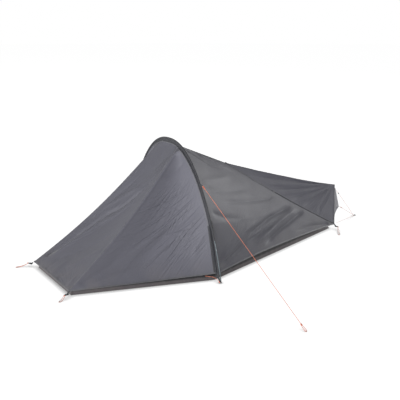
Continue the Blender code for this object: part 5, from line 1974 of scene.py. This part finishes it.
@dataclass
class LadderBuckle:
    """A ladder-lock buckle: a moulded frame with two slots and a lip to lift it by."""

    length: float = 0.022
    width: float = 0.02
    bar: float = 0.0032
    thickness: float = 0.004

    def mesh(self, seat: Seat) -> Mesh:
        """Moulds the frame, its middle bar with grip ribs, and the lip."""
        loop = seat.world(rounded_loop(self.length - self.bar, self.width - self.bar, 0.0022))
        parts = [closed_band(loop, seat.normal, self.bar / 2, self.thickness / 2)]
        reach = self.width / 2 - self.bar + 0.001
        grip = 1.0 + 0.1 * np.cos(np.linspace(0.0, 12 * math.pi, 19))
        for place, half in ((0.0, 0.0019), (-self.length / 2 + self.bar / 2, 0.0021)):
            line = seat.world([(place, y, 0.0004) for y in np.linspace(-reach, reach, 19)])
            parts.append(tube(line, half * grip, 10))
        lip = seat.world([(self.length / 2 + x, 0.0, 0.24 * x) for x in (-0.002, 0.001, 0.003, 0.0045)])
        return joined([*parts, strap(lip, seat.across, self.width * 0.62, 0.0022)])


@dataclass
class PegLoop:
    """A loop of orange cord that goes round a peg."""

    radius: float = 0.0014
    lift: float = 0.0007

    def build(self, name: str, route: Sequence[Array], rides: Rides, way: Array, tie: Array) -> None:
        """Args:
            name: The frame's node that the loop stands for.
            route: The points that it runs through.
            rides: The body that it rides on, or a Blend between two, which leaves it unparented.
            way: The way of the cord at its knot.
            tie: Where the cord is knotted.
        """
        knot = wound_knot(name + "_knot", tie + way * 0.0065, way, 0.0046, 3, self.radius, rides)
        add_cord(name, smooth_route(route, 90), self.radius, rides)


@dataclass
class Corners:
    """The webbing tab, buckle and peg loop at each corner of the fly."""

    strap_width: float = 0.014
    strap_thickness: float = 0.0015
    gap: float = 0.0003
    buckle: LadderBuckle = field(default_factory=LadderBuckle)
    loop: PegLoop = field(default_factory=PegLoop)

    def build(self) -> None:
        """Makes all four corners, each from the fly's corner, the lead of its tab and the reach of its peg."""
        head, foot = np.array(FORM.head_corner), np.array(FORM.foot_corner)
        for name, corner, lead, reach in (
                ("head_near", head * FAR, (-0.0165, -0.0084, -0.0125), (-0.056, -0.027)),
                ("head_far", head, (-0.0153, 0.0203, -0.016), (-0.0966, 0.0275)),
                ("foot_near", foot * FAR, (-0.002, -0.025, -0.01), (-0.09, -0.114)),
                ("foot_far", foot, (-0.002, 0.025, -0.01), (-0.09, 0.114))):
            self.build_corner(name, corner, np.array(lead), np.array([*reach, 0.0]))

    def build_corner(self, name: str, corner: Array, lead: Array, reach: Array) -> None:
        """Makes one corner, with the strap threaded through its buckle.

        Args:
            name: The corner's name.
            corner: The fly's corner.
            lead: From the corner to the end of its tab.
            reach: From the buckle to where the peg stands.
        """
        way = unit(lead)
        flat = unit(np.array([way[0], way[1], 0.0]))
        end = corner + lead
        body = f"buckle_{name}"
        half = self.buckle.length / 2
        seat = Seat(end + flat * (half + self.gap + 0.0008), flat, unit(np.cross(flat, UP)))
        dress_node(f"corner_buckle_{name}", "moulding", self.buckle.mesh(seat), BLACK, body)
        threaded = seat.world([(-half - 0.003, 0, 0.0016), (-half + self.buckle.bar / 2, 0, 0.0033),
                               (-0.0046, 0, 0.0016), (-0.0034, 0, -0.0022), (0.0, 0, -0.0031),
                               (0.003, 0, -0.0012), (0.0028, 0, 0.0024), (-0.001, 0, 0.004),
                               (-half + 0.001, 0, 0.0054), (-half - 0.008, 0, 0.005)])
        route = [corner - way * 0.006 + UP * 0.0014, corner + way * 0.004 + UP * 0.0008, corner + lead * 0.6,
                 *threaded, end - way * 0.012 + UP * 0.0046]
        bend = Blend(TENT, body, end - way * 0.01, end - way * 0.001)
        belt = strap(smooth_route(route, 70), unit(np.cross(way, UP)), self.strap_width, self.strap_thickness)
        dress_node(f"corner_tab_{name}", "strap", belt, WEBBING, bend)
        tip = seat.centre + flat * (half + self.loop.radius + self.gap)
        loop_bend = Blend(body, TENT, tip + flat * 0.004, tip + flat * 0.03)
        self.loop.build(f"peg_loop_{name}", self.loop_route(tip, flat, reach), loop_bend, flat, tip)

    def loop_route(self, tip: Array, flat: Array, reach: Array) -> list[Array]:
        """Returns the way of a peg loop, out of the buckle, round the peg's place and back."""
        side = np.array([-flat[1], flat[0], 0.0]) * 0.006
        outward = unit(reach)
        turn = np.array([-outward[1], outward[0], 0.0]) * 0.007
        far = tip + reach
        low = self.loop.radius + self.loop.lift
        route = [tip - side, (tip - side) * 0.55 + (far - turn) * 0.45, far - turn - outward * 0.01, far,
                 far + turn - outward * 0.01, (tip + side) * 0.55 + (far + turn) * 0.45, tip + side]
        sloping = tip[2] * 0.25 + low * 0.75
        for point, z in zip(route, (tip[2], sloping, low, low, low, sloping, tip[2])):
            point[2] = z
        return route


@dataclass
class HoopFeet:
    """At each end of the pole a webbing strap with a metal eyelet, and a slack peg loop."""

    eyelet_height: float = 0.006
    eyelet_radius: float = 0.0078
    eyelet_wire: float = 0.0016
    strap_width: float = 0.016
    strap_thickness: float = 0.0015
    loop: PegLoop = field(default_factory=PegLoop)

    def build(self) -> None:
        """Makes both feet, worked out on the near side and flipped to their own."""
        for side, flip in SIDES.items():
            self.build_foot(side, flip, float(HOOP.point(0.0, FORM.pole_inset)[1]))

    def build_foot(self, side: str, flip: Array, tip_y: float) -> None:
        """Makes one foot.

        Args:
            side: The side's name.
            flip: Plus or minus one along each axis.
            tip_y: Where the end of the pole is on the near side.
        """
        centre = np.array([0.0, tip_y, self.eyelet_height])
        eyelet = closed_tube(circle(centre, self.eyelet_radius, 40) * flip, self.eyelet_wire)
        dress_node(f"hoop_foot_eyelet_{side}", "ring", eyelet, METAL)
        hem = np.array([0.0, -FORM.hoop_hem_half_width - 0.004, FORM.hem_height - 0.006])
        edge = centre + np.array([0.0, self.eyelet_radius, 0.0])
        reach = self.eyelet_wire + self.strap_thickness
        aside = np.array([0.0, reach, 0.0])
        up = np.array([0.0, 0.008, 0.014])
        route = [hem + np.array([0.0, 0.01, 0.008]), hem, (hem + edge) / 2 + UP * 0.0008, edge + UP * reach,
                 edge - aside, edge - UP * (reach - 0.0004), edge + aside + up * 0.1,
                 edge + up + np.array([0.0, 0.002, -0.0012])]
        belt = strap(smooth_route([place * flip for place in route], 60), ALONG, self.strap_width,
                     self.strap_thickness)
        dress_node(f"hoop_foot_strap_{side}", "belt", belt, WEBBING)
        strand = [(-0.0112, tip_y, 0.006), (-0.017, -0.729, 0.021), (-0.028, -0.711, 0.036),
                  (-0.043, -0.692, 0.043), (-0.06, -0.666, 0.0425), (-0.072, -0.63, 0.0385)]
        route = [np.array(place) * flip for place in strand]
        self.loop.build(f"peg_loop_hoop_{side}", route, TENT, unit(route[1] - route[0]), route[0])


@dataclass
class DoorZip:
    """The door's zip: tape and teeth on the leg and on the door, the slider and its pull."""

    door_bend: Blend
    middle_x: float = -0.0095
    tape_width: float = 0.0075
    tape_thickness: float = 0.0009
    tooth_pitch: float = 0.0025
    tooth_shift: float = 0.0007
    tooth_size: Point = (0.0015, 0.0034, 0.002)
    slider_start: float = 0.052
    slider_length: float = 0.014

    def build(self) -> None:
        """Makes both halves, the slider and the pull, and the dark tape under the pole, whose darkness also paints the
        shade beside it.
        """
        self.low, high = BASE.at(0.004), BASE.at(BASE.straight)
        self.along = unit(high - self.low)
        self.out = np.array([0.0, -self.along[2], self.along[1]])
        halves = (("leg", 1, TENT), ("door", -1, self.door_bend))
        for part, start, end, count, finish, node in (
                ("zip_tape", 0.004, BASE.straight, 30, TAPE, "door_zip_chain"),
                ("zip_cover", BASE.straight, BASE.seam_top - 0.004, 60, FLY_BAND, "door_zip_tape")):
            for half, way, rides in halves:
                line = BASE.at(np.linspace(start, end, count), self.middle_x + way * self.tape_width / 2)
                mesh = strap(line, ALONG, self.tape_width, self.tape_thickness)
                add_piece(f"{part}_{half}", mesh, finish, rides, node if half == "leg" else "")
        for half, way, rides in halves:
            self.build_teeth(f"zip_teeth_{half}", way, rides)
        self.build_slider()
        self.build_leg_tape()

    def build_teeth(self, name: str, way: int, rides: Rides) -> None:
        """Makes one row of moulded teeth up the leg.

        Args:
            name: The piece's name.
            way: Plus one for the leg's row and minus one for the door's, which is half a tooth higher.
            rides: The body that it rides on, or a Blend between two, which leaves it unparented.
        """
        count = int(float(np.linalg.norm(BASE.at(BASE.straight) - self.low)) / self.tooth_pitch)
        first = self.low + self.along * (0.001 if way > 0 else 0.001 + self.tooth_pitch / 2)
        first = first + ALONG * (self.middle_x + way * self.tooth_shift) + self.out * 0.0006
        place = Matrix((Vector(self.along), Vector(ALONG), Vector(self.out))).transposed().to_4x4()
        bm = bmesh.new()
        for k in range(count):
            place.translation = Vector(first + self.along * (k * self.tooth_pitch))
            bmesh.ops.create_cube(bm, size=1.0, matrix=place @ Matrix.Diagonal((*self.tooth_size, 1.0)))
        bmesh.ops.bevel(bm, geom=bm.edges[:], offset=0.0003, segments=1, affect="EDGES")
        mesh = bpy.data.meshes.new("piece")
        bm.to_mesh(mesh)
        bm.free()
        add_piece(name, mesh, TEETH, rides)

    def build_slider(self) -> None:
        """Makes the slider's two plates with the bridge between them, and the webbing pull."""
        base = BASE.at(0.0) + self.along * self.slider_start + ALONG * self.middle_x
        seat = Seat(base + self.out * 0.002, self.along, ALONG)
        wings = np.linspace(-0.5, 0.5, 15)
        half = 0.0045 * (0.72 + 0.28 * ease(wings + 0.5)) * np.sqrt(np.clip(1 - (2 * np.abs(wings)) ** 8, 0.15, 1))
        thick = np.full(len(wings), 0.0008)
        parts = [seat.plate(wings * self.slider_length, half, thick, 0.5, 0.02, lift) for lift in (0.0, 0.003)]
        bridge = seat.world([(-0.005, 0, 0.003), (-0.004, 0, 0.0052), (0.002, 0, 0.0056), (0.0052, 0, 0.003)])
        parts.append(strap(smooth_route(bridge, 18), ALONG, 0.003, 0.0011))
        dress_node("door_zip_slider", "body", joined(parts), GUNMETAL, "zip_slider")
        pull = seat.world([(0.0025, 0, 0.0052), (0.0005, 0, 0.0066), (-0.01, 0, 0.007), (-0.028, 0, 0.0066)])
        dress_node("door_zip_pull", "tape", strap(smooth_route(pull, 26), ALONG, 0.0032, 0.0016), PULL, "zip_pull")

    def build_leg_tape(self) -> None:
        """Makes the dark tape that backs the bare length of the pole on each side; its darkness also paints the shade
        beside the pole.
        """
        share = np.linspace(0.002, BASE.straight + 0.01, 40)
        for side, flip in SIDES.items():
            line = (BASE.at(share, 0.0125) + self.out * 0.0014) * flip
            add_piece(f"leg_tape_{side}", strap(line, ALONG, 0.0185, 0.0009), LEG_TAPE_AND_SHADE)


@dataclass
class FootStrut:
    """The short rod that stands under the foot's peak."""

    x: float = 1.8
    radius: float = 0.004
    height: float = 0.368
    lift: float = 0.0002

    def build(self) -> None:
        """Makes the rod with a moulded foot and a moulded cap."""
        low, high, full, neck = self.lift, self.lift + self.height, self.radius, self.radius - 0.0004
        self.build_length("foot", [low, low + 0.0006, low + 0.012, low + 0.0124], [0.003, full, full, neck], BLACK)
        self.build_length("rod", np.linspace(low + 0.0124, high - 0.0104, 24), neck, POLE, "foot_strut")
        self.build_length("cap", [high - 0.0104, high - 0.01, high - 0.0014, high], [neck, full, full, 0.0026], BLACK)

    def build_length(self, part: str, heights: Sequence[float], radii: float | Sequence[float], finish: Finish,
                     node: str = "") -> None:
        """Makes one upright length of the rod."""
        line = np.stack(np.broadcast_arrays(self.x, 0.0, heights), axis=1)
        add_piece(f"foot_strut_{part}", tube(line, radii, 20), finish, TENT, node)


@dataclass
class Groundsheet:
    """The bathtub floor: a coated sheet whose edge turns up all round."""

    head: Share = (-1.025, 0.335)
    hoop: Share = (0.0, 0.655)
    foot: Share = (1.65, 0.175)
    middle: Share = (0.25, 0.0)
    thickness: float = 0.002
    wall: float = 0.052
    lean: float = 0.012
    stops: int = 360

    def outline(self, inset: float) -> Array:
        """Returns the plan's closed outline, drawn in by an inset, evenly spaced."""
        (hx, hy), (ox, oy), (fx, fy) = self.head, self.hoop, self.foot
        near = [(hx + inset, -hy + inset), (ox, -oy + inset), (fx - inset, -fy + inset)]
        corners = np.array(near + [(x, -y) for x, y in near[::-1]] + near[:1])
        run = lengths(corners)
        stops = np.linspace(0.0, 1.0, self.stops + 1)[:-1] * run[-1]
        return np.stack([np.interp(stops, run, corners[:, k]) for k in range(2)], axis=1)

    def ring(self, inset: float, height: float, sway: float = 0.0) -> Array:
        """Returns one ring of the tub, with its wall's wrinkles."""
        plan = self.outline(inset)
        run = lengths(plan)
        wave = np.sin(run * TURN / 0.083 + 2 * np.sin(run * 3.1)) + 0.6 * np.sin(run * TURN / 0.041)
        plan = plan + unit(np.array(self.middle) - plan) * (sway * wave)[:, None]
        return np.concatenate([plan, np.full((len(plan), 1), height)], axis=1)

    def build(self) -> None:
        """Makes the tub from its base ring up the wall and down its inner face to the floor."""
        low = self.thickness
        steps = np.linspace(0.15, 1.0, 6)
        rings = [self.ring(0.0, 0.0), self.ring(-0.0004, 0.004)]
        for inset, shares in ((0.0, steps), (0.0014, steps[::-1])):
            rings += [self.ring(self.lean * s + inset, self.wall * s, 0.0011 * math.sin(math.pi * s)) for s in shares]
        rings.append(self.ring(0.003, low))
        middle, edge = np.array([*self.middle, low]), self.ring(0.006, low)
        for share in (0.98, 0.9, 0.75, 0.6, 0.45, 0.3, 0.15, 0.03):
            ring = middle + (edge - middle) * share
            ring[:, 2] = low + 0.0008 * (1 + np.sin(ring[:, 0] * 31 + 2 * np.sin(ring[:, 1] * 23)))
            rings.append(ring)
        stack = np.array(rings)
        along = np.concatenate([[0.0], np.cumsum(np.linalg.norm(np.diff(stack, axis=0), axis=-1).mean(axis=1))])
        around = np.linspace(0.0, float(lengths(self.outline(0.0))[-1]), self.stops + 1)
        piece = dress_node("groundsheet", "tub", swept(stack, along, around), FLOOR)


@dataclass
class InnerTent:
    """The inner tent: nylon walls, and netting at the door and at the far front."""

    height: float = 0.87
    half_width: float = 0.645
    ridge_break: Point = (0.5, 0.0, 0.645)
    peak: Point = (1.7, 0.0, 0.255)
    base_height: float = 0.056
    top_y: float = 0.14
    head_base: Share = (-1.013, 0.323)
    foot_base: Share = (1.638, 0.163)
    base_share: float = 0.04
    shift: float = 0.003
    cloth: float = 0.0005
    cell: float = 0.022
    hollow: dict[str, float] = field(default_factory=lambda: {
        "inner_door": 0.036, "inner_far_front_wall": 0.036, "inner_near_side_wall": 0.014,
        "inner_far_side_wall": 0.014, "inner_head_wall": 0.03})

    def arch_point(self, share: float | Array, x: float = 0.0) -> Array:
        """Returns the place on the arch under the hoop at each share of its half turn."""
        y = -self.half_width * np.cos(math.pi * np.asarray(share, float))
        across = np.abs(y) / self.half_width
        z = self.height * np.clip(1.0 - across ** FORM.hoop_side_power, 0.0, 1.0) ** (1.0 / FORM.hoop_top_power)
        return np.stack([y * 0.0 + x, y, np.maximum(z, self.base_height)], axis=-1)

    def arch(self, start: float, end: float, x: float) -> Rail:
        """Returns a rail along the arch."""
        return lambda v: self.arch_point(start + (end - start) * v, x)

    def grid(self, rail_a: Rail, rail_b: Rail, first: float = 0.0, last: float = 1.0) -> Array:
        """Returns a wall's points between two rails."""
        return ruled(rail_a, rail_b, first, last, grid_size(rail_a, rail_b, self.cell))

    def build(self) -> None:
        """Makes every wall, the drop-down door and their bound edges."""
        head, foot = (np.array([x, -y, self.base_height]) for x, y in (self.head_base, self.foot_base))
        low, shift = self.base_share, self.shift
        top_share = math.acos(self.top_y / self.half_width) / math.pi
        top = self.arch_point(top_share, -shift)
        near_seam, far_seam = (hanging(top * flip, head * flip, 0.04) for flip in SIDES.values())
        seam_near, seam_far = (hanging(self.ridge_break, foot * flip, 0.015) for flip in SIDES.values())
        head_wall = arched(self.grid(near_seam, far_seam), self.arch(top_share, 1.0 - top_share, -shift))
        far_front = self.grid(self.arch(1.0 - top_share, 1.0 - low, -shift), far_seam, 0.06)
        self.wall("inner_head_wall", Sheet(head_wall), INNER)
        self.wall("inner_far_front_wall", Sheet(far_front), NET)
        self.wall("inner_near_side_wall", Sheet(self.grid(self.arch(0.5, low, shift), seam_near)), INNER)
        self.wall("inner_far_side_wall", Sheet(self.grid(seam_far, self.arch(0.5, 1.0 - low, shift))), INNER)
        ridge = hanging(self.ridge_break, self.peak, 0.006)
        self.wall("inner_foot_roof", creased(seam_near, ridge, seam_far, 0.05, (48, 12)), INNER)
        self.build_door(near_seam, self.arch(top_share, low, -shift), top)

    def wall(self, name: str, sheet: Sheet, finish: Finish, rides: Rides = TENT) -> None:
        """Adds one wall as a sheet of cloth, with bound edges.

        Args:
            name: The frame's node that the wall stands for.
            sheet: The wall, flat.
            finish: Its finish.
            rides: The body that it rides on, or a Blend between two, which leaves it unparented.
        """
        sheet.dress((), (Edge.START, Edge.LEFT, Edge.RIGHT, Edge.END), self.hollow.get(name, 0.006), 1.0, 0.0008,
                    Puckers(0.0005, 0.05, 0.02))
        add_panel(name, sheet, self.cloth, finish, rides)
        for label, edge in (("side_a", Edge.LEFT), ("side_b", Edge.RIGHT)):
            add_piece(f"{name}_binding_{label}", banded(sheet.edge(edge), BINDING), DARK, rides)

    def build_door(self, near_seam: Rail, leg: Rail, top: Array) -> None:
        """Makes the netting door, which drops inwards about its lower edge."""
        sheet = Sheet(self.grid(near_seam, leg, 0.06, 0.99))
        low_a, low_b = sheet.points[-1, 0], sheet.points[-1, -1]
        axis = unit(low_b - low_a)
        rise = top - low_a
        rise = unit(rise - axis * (rise @ axis))
        bend = Blend(TENT, "inner_door", low_a + rise * 0.01, low_a + rise * 0.06)
        self.wall("inner_door", sheet, NET, bend)
        add_piece("inner_door_zip", banded(sheet.edge(Edge.RIGHT), BINDING), TEETH, bend)


def main() -> None:
    """Builds the studio and every sub-assembly of the tent, in order."""
    logging.basicConfig(level=logging.INFO, format="%(name)s: %(message)s")
    bpy.context.scene.view_settings.view_transform = "Standard"
    fly = Fly()
    for part in (Camera(), Studio(), Guylines(), fly, Pole(), Sleeve(), DoorZip(fly.door_bend), Corners(),
                 HoopFeet(), FootStrut(), Groundsheet(), InnerTent()):
        part.build()


if __name__ == "__main__":
    main()
